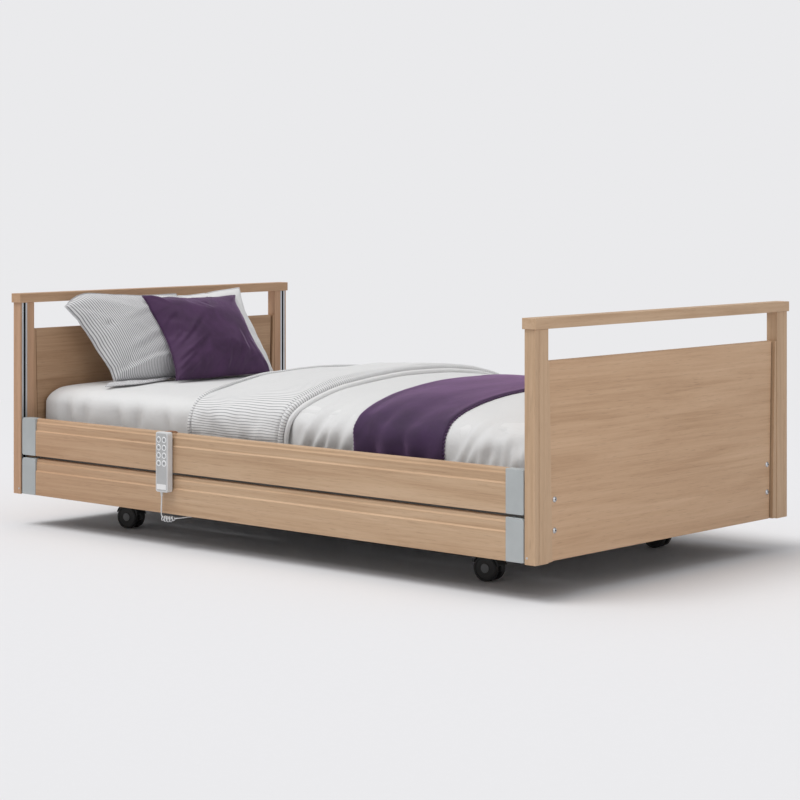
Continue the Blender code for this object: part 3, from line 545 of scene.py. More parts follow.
            # black hexagon at the bottom of the socket: painted shade inside the hole
            plug = lathe(f"{end}_{side_name}_bolt_socket_{int(z * 1000)}", [(0.0, 0.0016), (0.0023, 0.0016), (0.0023, 0.0008), (0.0, 0.0008)], 6, spot)
            finish_piece(plug, FORK, "bed", smooth=False)

    # panel between the posts
    bm = prism("X", [(-0.534, 0.105), (0.532, 0.105), (0.545, PANEL_TOP), (-0.547, PANEL_TOP)], *xs(PANEL_IN, PANEL_OUT))
    bevel_edges(bm, 0.0022, 3)
    # the headboard's panel and tongue take the darker veneer: painted shade
    finish_piece(from_bm(f"{end}_panel_board", bm), OAK_HEAD_SHADED if sign < 0 else OAK_PANEL, "bed", (f"{end}_panel",))
    bm = box_bm(*xs(1.066, 1.074), -(POST_Y0 - 0.0003), POST_Y0 - 0.0003, 0.108, PANEL_TOP - 0.003)
    bevel_edges(bm, 0.0008, 2)
    finish_piece(from_bm(f"{end}_panel_tongue", bm), OAK_HEAD_SHADED if sign < 0 else OAK_PANEL, "bed", (f"{end}_panel",))


def board_outline(side, z0, z1):
    """Rail section: well-rounded top, softened bottom, and a routed step across the outer face."""
    yi, yo = 0.587, 0.612
    g = z1 - 0.034
    pts = [(yi, z0 + 0.002)] + arc(yi + 0.002, z0 + 0.002, 0.002, 180, 270, 3)[1:]
    pts += arc(yo - 0.002, z0 + 0.002, 0.002, 270, 360, 3)
    pts += [(yo, g - 0.0080), (yo - 0.0005, g - 0.0075), (yo - 0.0032, g - 0.0042), (yo - 0.0036, g - 0.0034)]
    pts += [(yo - 0.0036, z1 - 0.0150), (yo - 0.0040, z1 - 0.0143), (yo - 0.0062, z1 - 0.0104), (yo - 0.0065, z1 - 0.0090)]
    pts += arc(yo - 0.0066 - 0.0055, z1 - 0.0056, 0.0055, 8, 90, 6)
    pts += arc(yi + 0.004, z1 - 0.004, 0.004, 90, 180, 4)
    return [(side * y, z) for y, z in pts]


for side, side_name in ((-1, "near"), (1, "far")):
    for level, z0, z1 in (("upper", 0.2325, 0.354), ("lower", 0.105, 0.224)):
        node = f"{side_name}_{level}_rail"
        body = NODES[node]["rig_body"]
        bm = prism("X", board_outline(side, z0, z1), -0.9817, 0.9867)
        o = from_bm(f"{node}_board", bm)
        finish_piece(o, OAK_X, body, (node,), angle=24.0)
        # the routed slopes that face up are a shade paler: a painted highlight where they catch the light
        o.data.materials.append(OAK_EDGE_HIGHLIGHT)
        for poly in o.data.polygons:
            if 0.25 < poly.normal.z < 0.75 and poly.normal.y * side > 0.3 and abs(poly.center.x) < 0.97 and poly.center.z < z1 - 0.004:
                poly.material_index = 1
        for end in ("head", "foot"):
            refined(f"{side_name}_{level}_{end}_end_cap", ENDCAP, 0.0016, 3)


# ================================================== steelwork and actuators
for node in ("base_frame", "bed_frame", "head_lift_arm", "foot_lift_arm", "backrest_frame", "thigh_frame", "calf_frame"):
    refined(node, POWDER, 0.0012, 2, 40.0)
for unit in ("lift", "back", "leg"):
    refined(f"{unit}_motor", MOTOR, 0.0014, 3, 40.0)
    refined(f"{unit}_rod", CHROME, 0.0004, 2, 40.0)

ARM, REST = 0.48, math.radians(4.0)


def pin_head(name, x, y, z, out, body, r=0.0105):
    """Retaining washer and hexagon on the end of a pivot."""
    spot = Matrix.Translation((x, y, z)) @ Matrix.Rotation(math.radians(90 if out < 0 else -90), 4, "X")
    o = lathe(name, [(0.0, 0.0060), (r * 0.55, 0.0060), (r * 0.62, 0.0052), (r * 0.62, 0.0022), (r, 0.0020), (r * 1.04, 0.0012), (r * 1.04, 0.0002), (0.0, 0.0002)], 24, spot)
    finish_piece(o, ZINC, body)


for side, tag in ((-1, "near"), (1, "far")):
    for arm_name, x in (("head", -0.62), ("foot", 0.20)):
        pin_head(f"{arm_name}_arm_pivot_{tag}", x, side * 0.3975, 0.145, side, f"{arm_name}_arm")
    pin_head(f"calf_hinge_pin_{tag}", 0.33, side * 0.476, 0.282, side, "calf", 0.0085)


# ================================================================= castors
CASTORS = {"head_near": (-0.770, -0.410, 10.0), "head_far": (-0.770, 0.410, -8.0), "foot_near": (0.735, -0.405, 8.0), "foot_far": (0.735, 0.405, 6.0)}
for name, (cx, cy, ang) in CASTORS.items():
    place = Matrix.Translation((cx, cy, 0)) @ Matrix.Rotation(math.radians(ang), 4, "Z")
    refined(f"{name}_castor_fork", FORK, 0.0012, 3, 30.0)
    lay = place @ Matrix.Translation((0.022, 0, 0.0375)) @ Matrix.Rotation(math.radians(90), 4, "X")
    for k, s in (("a", 1), ("b", -1)):
        # tyre with a rounded tread, a dished web and a raised hub
        prof = [(0.0065, 0.0090), (0.0345, 0.0090), (0.0362, 0.0096), (0.0372, 0.0112), (0.0375, 0.0140), (0.0375, 0.0215), (0.0371, 0.0243), (0.0358, 0.0264), (0.0336, 0.0275),
                (0.0312, 0.0275), (0.0300, 0.0268), (0.0292, 0.0250), (0.0205, 0.0240), (0.0150, 0.0243), (0.0142, 0.0254), (0.0065, 0.0256)]
        wheel = lathe(f"{name}_wheel_{k}", [(r, s * z) for r, z in prof], 64, lay)
        finish_piece(wheel, TYRE, f"{name}_wheels", (f"{name}_castor_wheels",), angle=45)
        disc = [(0.0, 0.0272), (0.0075, 0.0272), (0.0086, 0.0268), (0.0088, 0.0262), (0.0105, 0.0262), (0.0125, 0.0260), (0.0131, 0.0253), (0.0131, 0.0230), (0.0, 0.0230)]
        hub = lathe(f"{name}_hub_{k}", [(r, s * z) for r, z in disc], 40, lay)
        finish_piece(hub, HUB, f"{name}_wheels", angle=45)
    axle = lathe(f"{name}_axle", [(0.0, 0.0230), (0.0050, 0.0230), (0.0050, -0.0230), (0.0, -0.0230)], 20, lay)
    finish_piece(axle, ZINC, f"{name}_wheels", (f"{name}_castor_wheels",))


# ================================================================= handset
HX0, HX1, HY0, HY1, HZ0, HZ1 = -0.3765, -0.3225, -0.636, -0.6139, 0.173, 0.357
COLS, ROWS = (-0.3615, -0.3375), (0.3335, 0.3095, 0.2855, 0.2615)
bm = box_bm(HX0, HX1, HY0, HY1, HZ0, HZ1)
bevel_edges(bm, 0.0095, 7, where=lambda e: abs((e.verts[0].co - e.verts[1].co).y) > 0.01)
bevel_edges(bm, 0.0034, 4, 60.0)
shell = from_bm("handset_shell_body", bm)
finish_piece(shell, SHELL, "handset", ("handset_case",))
bm = prism("Y", arc(HX1 - 0.0105, HZ1 - 0.0105, 0.006, 0, 90, 6) + arc(HX0 + 0.0105, HZ1 - 0.0105, 0.006, 90, 180, 6)
           + arc(HX0 + 0.0105, HZ0 + 0.0105, 0.006, 180, 270, 6) + arc(HX1 - 0.0105, HZ0 + 0.0105, 0.006, 270, 360, 6), HY0 - 0.0005, HY0 + 0.002)
bevel_edges(bm, 0.0003, 2)
finish_piece(from_bm("handset_face_plate", bm), FACE, "handset")
bm = prism("Y", arc(-0.3305, 0.1955, 0.002, 0, 90, 3) + arc(-0.3685, 0.1955, 0.002, 90, 180, 3) + arc(-0.3685, 0.1835, 0.002, 180, 270, 3) + arc(-0.3305, 0.1835, 0.002, 270, 360, 3), HY0 - 0.0008, HY0 + 0.001)
finish_piece(from_bm("handset_blank_label", bm), LABEL, "handset")
for row, bz in enumerate(ROWS):
    for col, bx in enumerate(COLS):
        f = ("backrest", "knee", "height", "tilt")[row]
        d = ("up", "down")[col]
        spot = Matrix.Translation((bx, HY0, bz)) @ Matrix.Rotation(math.radians(90), 4, "X")
        ring = lathe(f"{f}_{d}_key_ring", [(0.0066, 0.0008), (0.0071, 0.0014), (0.0084, 0.0016), (0.0093, 0.0013), (0.0098, 0.0005), (0.0098, -0.0030), (0.0066, -0.0030)], 40, spot)
        finish_piece(ring, RING, f"{f}_{d}_key", (f"{f}_{d}_button",))
        pad = lathe(f"{f}_{d}_key_pad", [(0.0, 0.0007), (0.0038, 0.00075), (0.0060, 0.0010), (0.0067, 0.0009), (0.0067, -0.0030), (0.0, -0.0030)], 32, spot)
        finish_piece(pad, PADKEY, f"{f}_{d}_key", (f"{f}_{d}_button",))
        # plain arrowhead that says which way the key moves the bed
        t = 1 if d == "up" else -1
        y = HY0 - 0.0011
        bm = prism("Y", [(bx - 0.0022, bz - t * 0.0012), (bx + 0.0022, bz - t * 0.0012), (bx, bz + t * 0.0020)], y, y + 0.0006)
        finish_piece(from_bm(f"{f}_{d}_arrow", bm), MARK, f"{f}_{d}_key", smooth=False)

# the hook goes over the rail's top edge
hook_path = catmull([(-0.3495, -0.6150, 0.3505), (-0.3495, -0.6132, 0.3556), (-0.3495, -0.6050, 0.3562), (-0.3495, -0.5900, 0.3562), (-0.3495, -0.5843, 0.3550), (-0.3495, -0.5838, 0.3450), (-0.3495, -0.5838, 0.3210)], 40)
bm = bmesh.new()
tang = np.gradient(hook_path, axis=0)
rows = []
for p, t in zip(hook_path, tang):
    n = np.array([0.0, -t[2], t[1]])
    n /= np.linalg.norm(n)
    rows.append([bm.verts.new(tuple(p + np.array([dx, 0, 0]) + n * dn)) for dx, dn in ((-0.0122, -0.0009), (0.0122, -0.0009), (0.0125, 0.0), (0.0122, 0.0009), (-0.0122, 0.0009), (-0.0125, 0.0))])
for a, b in zip(rows, rows[1:]):
    for i in range(6):
        j = (i + 1) % 6
        bm.faces.new((a[i], a[j], b[j], b[i]))
bm.faces.new(rows[0])
bm.faces.new(rows[-1][::-1])
finish_piece(from_bm("handset_rail_hook", bm), HOOK, "handset")
stop = box_bm(-0.3225, -0.3185, -0.6135, -0.5960, 0.3545, 0.3575)
bevel_edges(stop, 0.0012, 3)
finish_piece(from_bm("handset_hook_tab", stop), HOOK, "handset")

# cord: a relief on the handset, a straight run, and a coil that hangs from the bed and goes in under the lower rail
relief = lathe("handset_cord_relief", [(0.0, 0.004), (0.0046, 0.004), (0.0046, -0.002), (0.0041, -0.003), (0.0043, -0.005), (0.0037, -0.006), (0.0039, -0.008), (0.0033, -0.009), (0.0034, -0.012), (0.0026, -0.014), (0.0, -0.014)], 24,
               Matrix.Translation((-0.3600, -0.6250, HZ0)))
finish_piece(relief, CORD, "handset")
straight = catmull([(-0.3600, -0.6250, 0.172), (-0.3604, -0.6252, 0.150), (-0.3612, -0.6255, 0.125), (-0.3612, -0.6255, 0.108)], 30)
# the run is made in two lengths: the upper from the handset, the lower down to the coil
for name, part, body_a, body_b, z_a, z_b in (("handset_cord_upper_run", straight[:12], "handset", "near_upper_board", 0.168, float(straight[11][2]) + 0.001),
                                             ("handset_cord_lower_run", straight[11:], "near_upper_board", "bed", float(straight[11][2]), 0.111)):
    o = tube(name, part, 0.0022, 12)
    o.data.materials.append(CORD)
    o.data.shade_smooth()
    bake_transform(o)
centre = catmull([(-0.3612, -0.6255, 0.1085), (-0.3610, -0.6250, 0.1010), (-0.3565, -0.6235, 0.0940), (-0.3460, -0.6200, 0.0905), (-0.3300, -0.6140, 0.0905), (-0.3100, -0.6050, 0.0940), (-0.2850, -0.5900, 0.0985), (-0.2650, -0.5700, 0.1050), (-0.2550, -0.5500, 0.1400), (-0.2520, -0.5415, 0.1900), (-0.2520, -0.5405, 0.2150)], 700)
length = np.concatenate([[0], np.cumsum(np.linalg.norm(np.diff(centre, axis=0), axis=1))])
tang = np.gradient(centre, axis=0)
tang /= np.linalg.norm(tang, axis=1)[:, None]
coil = []
for p, t, l in zip(centre, tang, length):
    a = np.cross(t, np.array([0.3, -0.8, 0.52]))
    a /= np.linalg.norm(a)
    b = np.cross(t, a)
    grow = max(0.0, min(1.0, (l - 0.012) / 0.006)) * max(0.0, min(1.0, (0.062 - l) / 0.014))
    r = 0.0078 * grow
    ph = 2 * math.pi * l / 0.0088
    coil.append(p + r * (math.cos(ph) * a + math.sin(ph) * b))
cord_b = tube("handset_cord_coil", coil, 0.0018, 8)
cord_b.data.materials.append(CORD)
cord_b.data.shade_smooth()
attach(cord_b, "bed")


# ============================================================== soft goods
CUT_A, CUT_B = -0.060, 0.170
ZONES = ((-9.0, CUT_A, "backrest", "bed", (-0.50, 0, 0.4), (CUT_A, 0, 0.4)),
         (CUT_A, CUT_B, "bed", "thigh", (CUT_A, 0, 0.4), (CUT_B, 0, 0.4)),
         (CUT_B, 9.0, "thigh", "calf", (CUT_B, 0, 0.4), (0.49, 0, 0.4)))


def sm(a, b, x):
    t = min(1.0, max(0.0, (x - a) / (b - a)))
    return t * t * (3 - 2 * t)


def nz(x, y=0.0, z=0.0):
    return noise.noise(Vector((x, y, z)))


def stations(x0, x1, step, extra=()):
    """Places along X that fall on the cuts."""
    marks = sorted({x0, x1, *[c for c in (CUT_A, CUT_B) if x0 < c < x1], *[e for e in extra if x0 < e < x1]})
    out = []
    for a, b in zip(marks, marks[1:]):
        n = max(1, round((b - a) / step))
        out += [a + (b - a) * i / n for i in range(n)]
    return out + [x1]


def faces_towards(pts, direction):
    """Whether a face's corners run so that it looks along the given X direction."""
    pts = np.asarray(pts, float)
    c = pts - pts.mean(axis=0)
    area = np.cross(c, np.roll(c, -1, axis=0)).sum(axis=0)
    return area[0] * direction > 0


def banded(name, xs_, rings, uv_u, mat, stands_for):
    """A cover built of closed rings along X, cut into one piece for each section of the bed at the cuts. Ring points
    run over the outside and back inside.
    """
    rings = np.asarray(rings)                       # stations x ring x 3
    m, n = rings.shape[:2]
    half = n // 2

    def faces_between(i):
        return [(i * n + j, (i + 1) * n + j, (i + 1) * n + (j + 1) % n, i * n + (j + 1) % n) for j in range(n)]

    def strip(i, flip):
        fs = []
        for j in range(half - 1):
            q = (i * n + j, i * n + j + 1, i * n + n - 2 - j, i * n + n - 1 - j)
            fs.append(q if flip else q[::-1])
        return fs

    whole = [f for i in range(m - 1) for f in faces_between(i)]
    me = bpy.data.meshes.new("whole")
    me.from_pydata([tuple(v) for v in rings.reshape(-1, 3)], [], whole)
    me.update()
    normals = np.zeros(len(me.vertices) * 3, np.float32)
    me.vertices.foreach_get("normal", normals)
    normals = normals.reshape(m, n, 3)
    centre = rings.mean(axis=(0, 1))
    if float(((rings[m // 2, half // 2] - centre) * normals[m // 2, half // 2]).sum()) < 0:
        normals = -normals
        turn = True
    else:
        turn = False
    bpy.data.meshes.remove(me)
    made = []
    for k, (a, b, body_a, body_b, start, end) in enumerate(ZONES):
        idx = [i for i, x in enumerate(xs_) if a - 1e-6 <= x <= b + 1e-6]
        if len(idx) < 2:
            continue
        i0, i1 = idx[0], idx[-1]
        faces, uvs = [], []
        for i in range(i0, i1):
            for j in range(n):
                jn = (j + 1) % n
                q = [(i, j), (i + 1, j), (i + 1, jn), (i, jn)]
                u = [uv_u[j], uv_u[j], uv_u[j + 1], uv_u[j + 1]]
                v = [xs_[i], xs_[i + 1], xs_[i + 1], xs_[i]]
                if turn:
                    q, u, v = q[::-1], u[::-1], v[::-1]
                faces.append(tuple((p - i0) * n + r for p, r in q))
                uvs += list(zip(u, v))
        for i, direction in ((i0, -1), (i1, 1)):
            cap = strip(0, False)
            if not faces_towards([rings[i][v] for v in cap[len(cap) // 2]], direction):
                cap = strip(0, True)
            for f in cap:
                faces.append(tuple((i - i0) * n + v for v in f))
                uvs += [(uv_u[v], xs_[i]) for v in f]
        verts = rings[i0:i1 + 1].reshape(-1, 3)
        o = add_object(f"{name}_{('head', 'middle', 'foot')[k]}", verts, faces, uvs)
        o.data.materials.append(mat)
        o.data.shade_smooth()
        o.data.normals_split_custom_set_from_vertices([tuple(v) for v in normals[i0:i1 + 1].reshape(-1, 3)])
        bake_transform(o)
        made.append(o)
    for node in stands_for:
        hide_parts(node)
    return made


def full(half_points, count):
    """Both sides of a half outline (y, z) that runs from the near hem up to the middle line."""
    line = catmull(half_points, count)
    near = np.stack([-line[:, 0], line[:, 1]], axis=1)
    far = line[::-1][1:]
    return np.vstack([near, far])


def outline_normals(line):
    t = np.gradient(line, axis=0)
    n = np.stack([-t[:, 1], t[:, 0]], axis=1)
    n /= np.linalg.norm(n, axis=1)[:, None]
    return n


HALF = 72
COVER = full([(0.525, 0.3185), (0.531, 0.323), (0.5355, 0.345), (0.5360, 0.370), (0.5320, 0.398), (0.517, 0.425), (0.488, 0.451), (0.430, 0.475), (0.340, 0.496), (0.200, 0.512), (0.080, 0.5195), (0.0, 0.521)], HALF)
THICK = full([(0.527, 0.3185), (0.538, 0.324), (0.547, 0.345), (0.5495, 0.370), (0.546, 0.402), (0.533, 0.433), (0.506, 0.463), (0.450, 0.492), (0.360, 0.518), (0.220, 0.537), (0.090, 0.5450), (0.0, 0.5465)], HALF)
UNDER = full([(0.5165, 0.3195), (0.5165, 0.345), (0.5165, 0.37), (0.5160, 0.40), (0.508, 0.43), (0.49, 0.448), (0.43, 0.4535), (0.34, 0.455), (0.2, 0.4555), (0.08, 0.456), (0.0, 0.456)], HALF)
COVER_N = outline_normals(COVER)
COVER_S = np.concatenate([[0], np.cumsum(np.linalg.norm(np.diff(COVER, axis=0), axis=1))])
COUNT = len(COVER)
LOFT = np.linalg.norm(THICK - COVER, axis=1)
S0, S1, S_STEP = -0.345, 1.045, 0.0115
ROWS_X = np.linspace(S0, S1, int(round((S1 - S0) / S_STEP)) + 1)
NR = len(ROWS_X)


def swell(x, j):
    """Broad loft of the filling, before the cloth settles."""
    y, z = COVER[j]
    s = COVER_S[j] - COVER_S[-1] / 2
    side = 1.0 - sm(0.405, 0.485, z)
    shoulder = sm(0.40, 0.45, z) * (1 - sm(0.48, 0.505, z))
    loft = 0.0050 * nz(x * 3.4 + 4.0, s * 3.6, 2.0) + 0.0022 * nz(x * 7.0, s * 6.0, 5.0)
    warp = x + 0.10 * (z - 0.40) * (1.0 if y < 0 else -1.0)
    hang = side * 0.0055 * nz(warp * 7.5, 2.0 + (5.0 if y > 0 else 0.0), z * 2.0)
    bulge = 0.0050 * shoulder * nz(x * 5.0, 9.0 + y, 1.0)
    return loft * (1 - 0.6 * side) + hang + bulge


def blur(field, sigma):
    """Gaussian blur of a grid along both ways, with its edges repeated."""
    r = int(3 * sigma)
    k = np.exp(-0.5 * (np.arange(-r, r + 1) / sigma) ** 2)
    k /= k.sum()
    for axis in (0, 1):
        pad = [(r, r) if a == axis else (0, 0) for a in range(field.ndim)]
        wide = np.pad(field, pad, mode="edge")
        field = sum(k[i] * np.take(wide, np.arange(i, i + field.shape[axis]), axis=axis) for i in range(2 * r + 1))
    return field


base = np.zeros((NR, COUNT, 3))
for i, x in enumerate(ROWS_X):
    for j in range(COUNT):
        y, z = COVER[j] + COVER_N[j] * swell(x, j)
        base[i, j] = (x, y, max(z, 0.3165))
N3 = np.zeros_like(base)
N3[:, :, 1], N3[:, :, 2] = COVER_N[:, 0], COVER_N[:, 1]


def settle_sheet(base, frames=14):
    """Lets a slightly roomy cloth buckle over the bed: real folds, with the hems held."""
    m, n = base.shape[:2]
    quads = [(i * n + j, (i + 1) * n + j, (i + 1) * n + j + 1, i * n + j + 1) for i in range(m - 1) for j in range(n - 1)]
    o = add_object("sheet_in_the_making", base.reshape(-1, 3), quads)
    pin = o.vertex_groups.new(name="pin")
    held = [i * n + j for i in range(m) for j in (0, 1, n - 2, n - 1)] + [i * n + j for i in (0, m - 1) for j in range(2, n - 2)]
    pin.add(held, 1.0, "REPLACE")
    cloth = o.modifiers.new("cloth", "CLOTH")
    s = cloth.settings
    s.quality = 6
    s.mass = 0.3
    s.tension_stiffness = s.compression_stiffness = 12
    s.shear_stiffness = 4
    s.bending_stiffness = 1.6
    s.tension_damping = s.compression_damping = 6
    s.shear_damping = 4
    s.air_damping = 4
    s.vertex_group_mass = "pin"
    s.shrink_min = -0.045
    s.effector_weights.gravity = 0.0
    cloth.collision_settings.use_collision = False
    cloth.point_cache.frame_start = 1
    cloth.point_cache.frame_end = frames + 1
    for f in range(1, frames + 1):
        SCENE.frame_set(f)
    graph = bpy.context.evaluated_depsgraph_get()
    mesh = bpy.data.meshes.new_from_object(o.evaluated_get(graph))
    out = np.zeros(len(mesh.vertices) * 3, np.float32)
    mesh.vertices.foreach_get("co", out)
    bpy.data.meshes.remove(mesh)
    old = o.data
    bpy.data.objects.remove(o, do_unlink=True)
    bpy.data.meshes.remove(old)
    SCENE.frame_set(1)
    return out.reshape(m, n, 3).astype(float)


moved = settle_sheet(base) - base
moved = moved - blur(moved, 6.0)                      # keep the folds, drop any drift of the whole cover
# the folds belong to the hanging sides and to the foot, where the cover is bunched by the board
hanging = np.array([1 - sm(0.38, 0.465, z) for z in COVER[:, 1]])[None, :]
bunched = np.array([sm(0.70, 0.95, x) for x in ROWS_X])[:, None]
moved *= (0.07 + 0.95 * hanging + 0.22 * bunched * (1 - hanging))[:, :, None]
normal_part = blur((moved * N3).sum(axis=2), 1.15)
LIMIT = 0.0110
normal_part = LIMIT * np.tanh(normal_part / LIMIT)
along_x = 0.004 * np.tanh(moved[:, :, 0] / 0.004)
for c in (CUT_A, CUT_B):
    along_x *= np.array([sm(0.002, 0.045, abs(x - c)) for x in ROWS_X])[:, None]
SHEET_P = base + N3 * normal_part[:, :, None]
SHEET_P[:, :, 0] += along_x
SHEET_P[:, :, 2] = np.maximum(SHEET_P[:, :, 2], 0.3165)
gu = np.gradient(SHEET_P, axis=0)
gv = np.gradient(SHEET_P, axis=1)
SHEET_N = np.cross(gu, gv)
SHEET_N /= np.linalg.norm(SHEET_N, axis=2)[:, :, None]
if (SHEET_N * N3).sum() < 0:
    SHEET_N = -SHEET_N
SHEET_N = blur(SHEET_N, 1.2)
SHEET_N /= np.linalg.norm(SHEET_N, axis=2)[:, :, None]


# folds drawn where the cover hangs: place at the hem, lean, width, height, how high it reaches, side
DRAPES = ((-0.265, 0.35, 0.026, 0.0045, 0.47, -1), (-0.185, -0.20, 0.030, 0.0040, 0.44, -1), (-0.115, 0.30, 0.024, 0.0050, 0.46, -1), (-0.020, 0.25, 0.024, 0.0045, 0.45, -1),
          (0.138, 0.60, 0.020, 0.0110, 0.51, -1), (0.192, 0.66, 0.015, 0.0090, 0.45, -1), (0.246, 0.46, 0.017, 0.0100, 0.48, -1), (0.303, 0.52, 0.015, 0.0080, 0.44, -1),
          (0.405, 0.20, 0.034, 0.0060, 0.50, -1), (0.495, 0.05, 0.032, 0.0070, 0.49, -1), (0.585, 0.18, 0.034, 0.0055, 0.48, -1), (0.662, -0.10, 0.026, 0.0050, 0.46, -1),
          (0.742, 0.55, 0.016, 0.0100, 0.48, -1), (0.785, 0.42, 0.013, 0.0085, 0.43, -1), (0.826, 0.25, 0.014, 0.0095, 0.45, -1), (0.868, 0.32, 0.013, 0.0080, 0.42, -1),
          (0.912, 0.10, 0.014, 0.0095, 0.46, -1), (0.955, -0.12, 0.013, 0.0080, 0.43, -1), (0.995, -0.20, 0.013, 0.0080, 0.45, -1),
          (-0.240, -0.20, 0.028, 0.0045, 0.46, 1), (-0.140, 0.25, 0.026, 0.0050, 0.45, 1), (-0.010, -0.20, 0.024, 0.0045, 0.46, 1), (0.150, 0.40, 0.018, 0.0070, 0.47, 1),
          (0.225, -0.30, 0.018, 0.0070, 0.45, 1), (0.300, 0.35, 0.017, 0.0065, 0.46, 1), (0.420, -0.10, 0.025, 0.0065, 0.48, 1), (0.520, 0.15, 0.025, 0.0065, 0.47, 1),
          (0.620, -0.20, 0.025, 0.0060, 0.47, 1), (0.755, 0.30, 0.015, 0.0070, 0.45, 1), (0.815, -0.25, 0.014, 0.0065, 0.43, 1), (0.870, 0.20, 0.014, 0.0070, 0.44, 1), (0.940, -0.15, 0.014, 0.0065, 0.44, 1))


def drape(x):
    """How far the listed folds stand out along one section."""
    y, z = COVER[:, 0], COVER[:, 1]
    out = np.zeros(COUNT)
    for c, lean, w, amp, top, side in DRAPES:
        q = (x - c - lean * (z - 0.32)) / w
        t = np.clip((top - z) / 0.085, 0.0, 1.0)
        out += np.where(side * y > 0, amp * (np.exp(-q * q) - 0.45 * np.exp(-((q - 1.5) ** 2))) * t * t * (3 - 2 * t), 0.0)
    return out


def sheet_at(x):
    """The settled cover's points and normals along one section."""
    t = min(max((x - S0) / (S1 - S0) * (NR - 1), 0.0), NR - 1.001)
    i = int(t)
    t -= i
    i0, i3 = max(i - 1, 0), min(i + 2, NR - 1)
    w = (-0.5 * t + t * t - 0.5 * t ** 3, 1 - 2.5 * t * t + 1.5 * t ** 3, 0.5 * t + 2 * t * t - 1.5 * t ** 3, -0.5 * t * t + 0.5 * t ** 3)
    p = sum(k * SHEET_P[a] for k, a in zip(w, (i0, i, i + 1, i3)))
    q = (1 - t) * SHEET_N[i] + t * SHEET_N[i + 1]
    p = p.copy()
    # the x of the row itself is kept exact; only the sideways drift of folds rides on it
    drift = p[:, 0] - (w[0] * ROWS_X[i0] + w[1] * ROWS_X[i] + w[2] * ROWS_X[i + 1] + w[3] * ROWS_X[i3])
    near_cut = min(sm(0.0, 0.03, abs(x - CUT_A)), sm(0.0, 0.03, abs(x - CUT_B)))
    p[:, 0] = x + drift * near_cut
    flat = q.copy()
    flat[:, 0] = 0.0
    return p + flat * drape(x)[:, None], q


def sheet_ring(x, offset, dx=None, flat_x=True):
    """One section of a layer lying at an offset (a number, or one per point) over the settled cover."""
    p, q = sheet_at(x)
    off = offset if np.ndim(offset) else np.full(COUNT, float(offset))
    near_cut = min(sm(0.0, 0.03, abs(x - CUT_A)), sm(0.0, 0.03, abs(x - CUT_B)))
    q = q.copy()
    q[:, 0] *= near_cut
    out = p + q * off[:, None]
    if dx is not None:
        out[:, 0] += [dx(j) for j in range(COUNT)]
    out[:, 2] = np.maximum(out[:, 2], 0.3165)
    return [tuple(v) for v in out]


def inner_ring(x, dx=None):
    return [(x + (dx(j) if dx else 0.0), UNDER[j][0], UNDER[j][1]) for j in range(COUNT)][::-1]


ring_u = np.concatenate([COVER_S, COVER_S[-1] + 0.02 + COVER_S, [COVER_S[-1] * 2 + 0.04]])

# white duvet, from under the turned-back part to the foot
END = 1.034
xs_a = stations(0.030, END, 0.0085, (1.000, 1.012, 1.020, 1.026, 1.030, 1.0325))
rings = []
for x in xs_a:
    r = 0.050
    d = END - x
    drop = -(r - math.sqrt(max(0.0, r * r - (r - d) ** 2))) if d < r else 0.0
    if x < 0.115:
        # tucked down under the rolled edge
        drop -= 0.007 * sm(0.115, 0.090, x)
    rings.append(sheet_ring(x, drop) + inner_ring(x))
banded("duvet", xs_a, rings, ring_u, DUVET, ("duvet_thigh_section", "duvet_calf_section"))


# turned-back part: the duvet doubled over, striped side up, with a soft nose at the head
def edge_shift(j, foot=True):
    s = COVER_S[j] - COVER_S[-1] / 2
    down = 1 - sm(0.35, 0.49, COVER[j][1])
    lean = 0.014 - 0.036 * down if foot else 0.0
    return lean + 0.008 * nz(s * 2.6, 6.0, 1.0) + 0.004 * nz(s * 9.0, 3.0, 2.0)


NOSE, BACK_END, R_NOSE = -0.334, 0.080, 0.034
TOPNESS = np.array([sm(0.40, 0.50, z) for z in COVER[:, 1]])


def thinning(x):
    """The doubled cover lies flatter towards its folded nose."""
    return sm(0.06, NOSE, x) * (0.005 + 0.023 * TOPNESS)


xs_b = stations(NOSE, BACK_END, 0.0085, (NOSE + 0.0004, NOSE + 0.0015, NOSE + 0.004, NOSE + 0.008, NOSE + 0.013, NOSE + 0.020, NOSE + 0.029, BACK_END - 0.012, BACK_END - 0.006, BACK_END - 0.003))
rings = []
for x in xs_b:
    d = x - NOSE
    f = math.sqrt(max(0.0, 1 - (1 - min(1.0, d / R_NOSE)) ** 2))
    near_cut = min(1.0, abs(x - CUT_A) / 0.10)
    shift = lambda j, w=sm(0.0, 1.0, near_cut), foot=x > CUT_A: w * edge_shift(j, foot)
    dip = 0.0100 * sm(0.014, 0.0, BACK_END - x)
    own = np.array([0.0030 * nz(x * 6.0 + 9.0, COVER_S[j] * 6.0, 4.0) + 0.0014 * nz(x * 15.0, COVER_S[j] * 13.0, 7.0) for j in range(COUNT)])
    outer = sheet_ring(x, LOFT + own - dip - thinning(x), shift)
    under = inner_ring(x, shift)
    flipped = under[::-1]
    outer = [tuple(np.array(flipped[j]) + (0.02 + 0.98 * f) * (np.array(outer[j]) - np.array(flipped[j]))) for j in range(COUNT)]
    rings.append(outer + under)
banded("duvet_turned_back", xs_b, rings, ring_u, TURNED, ())


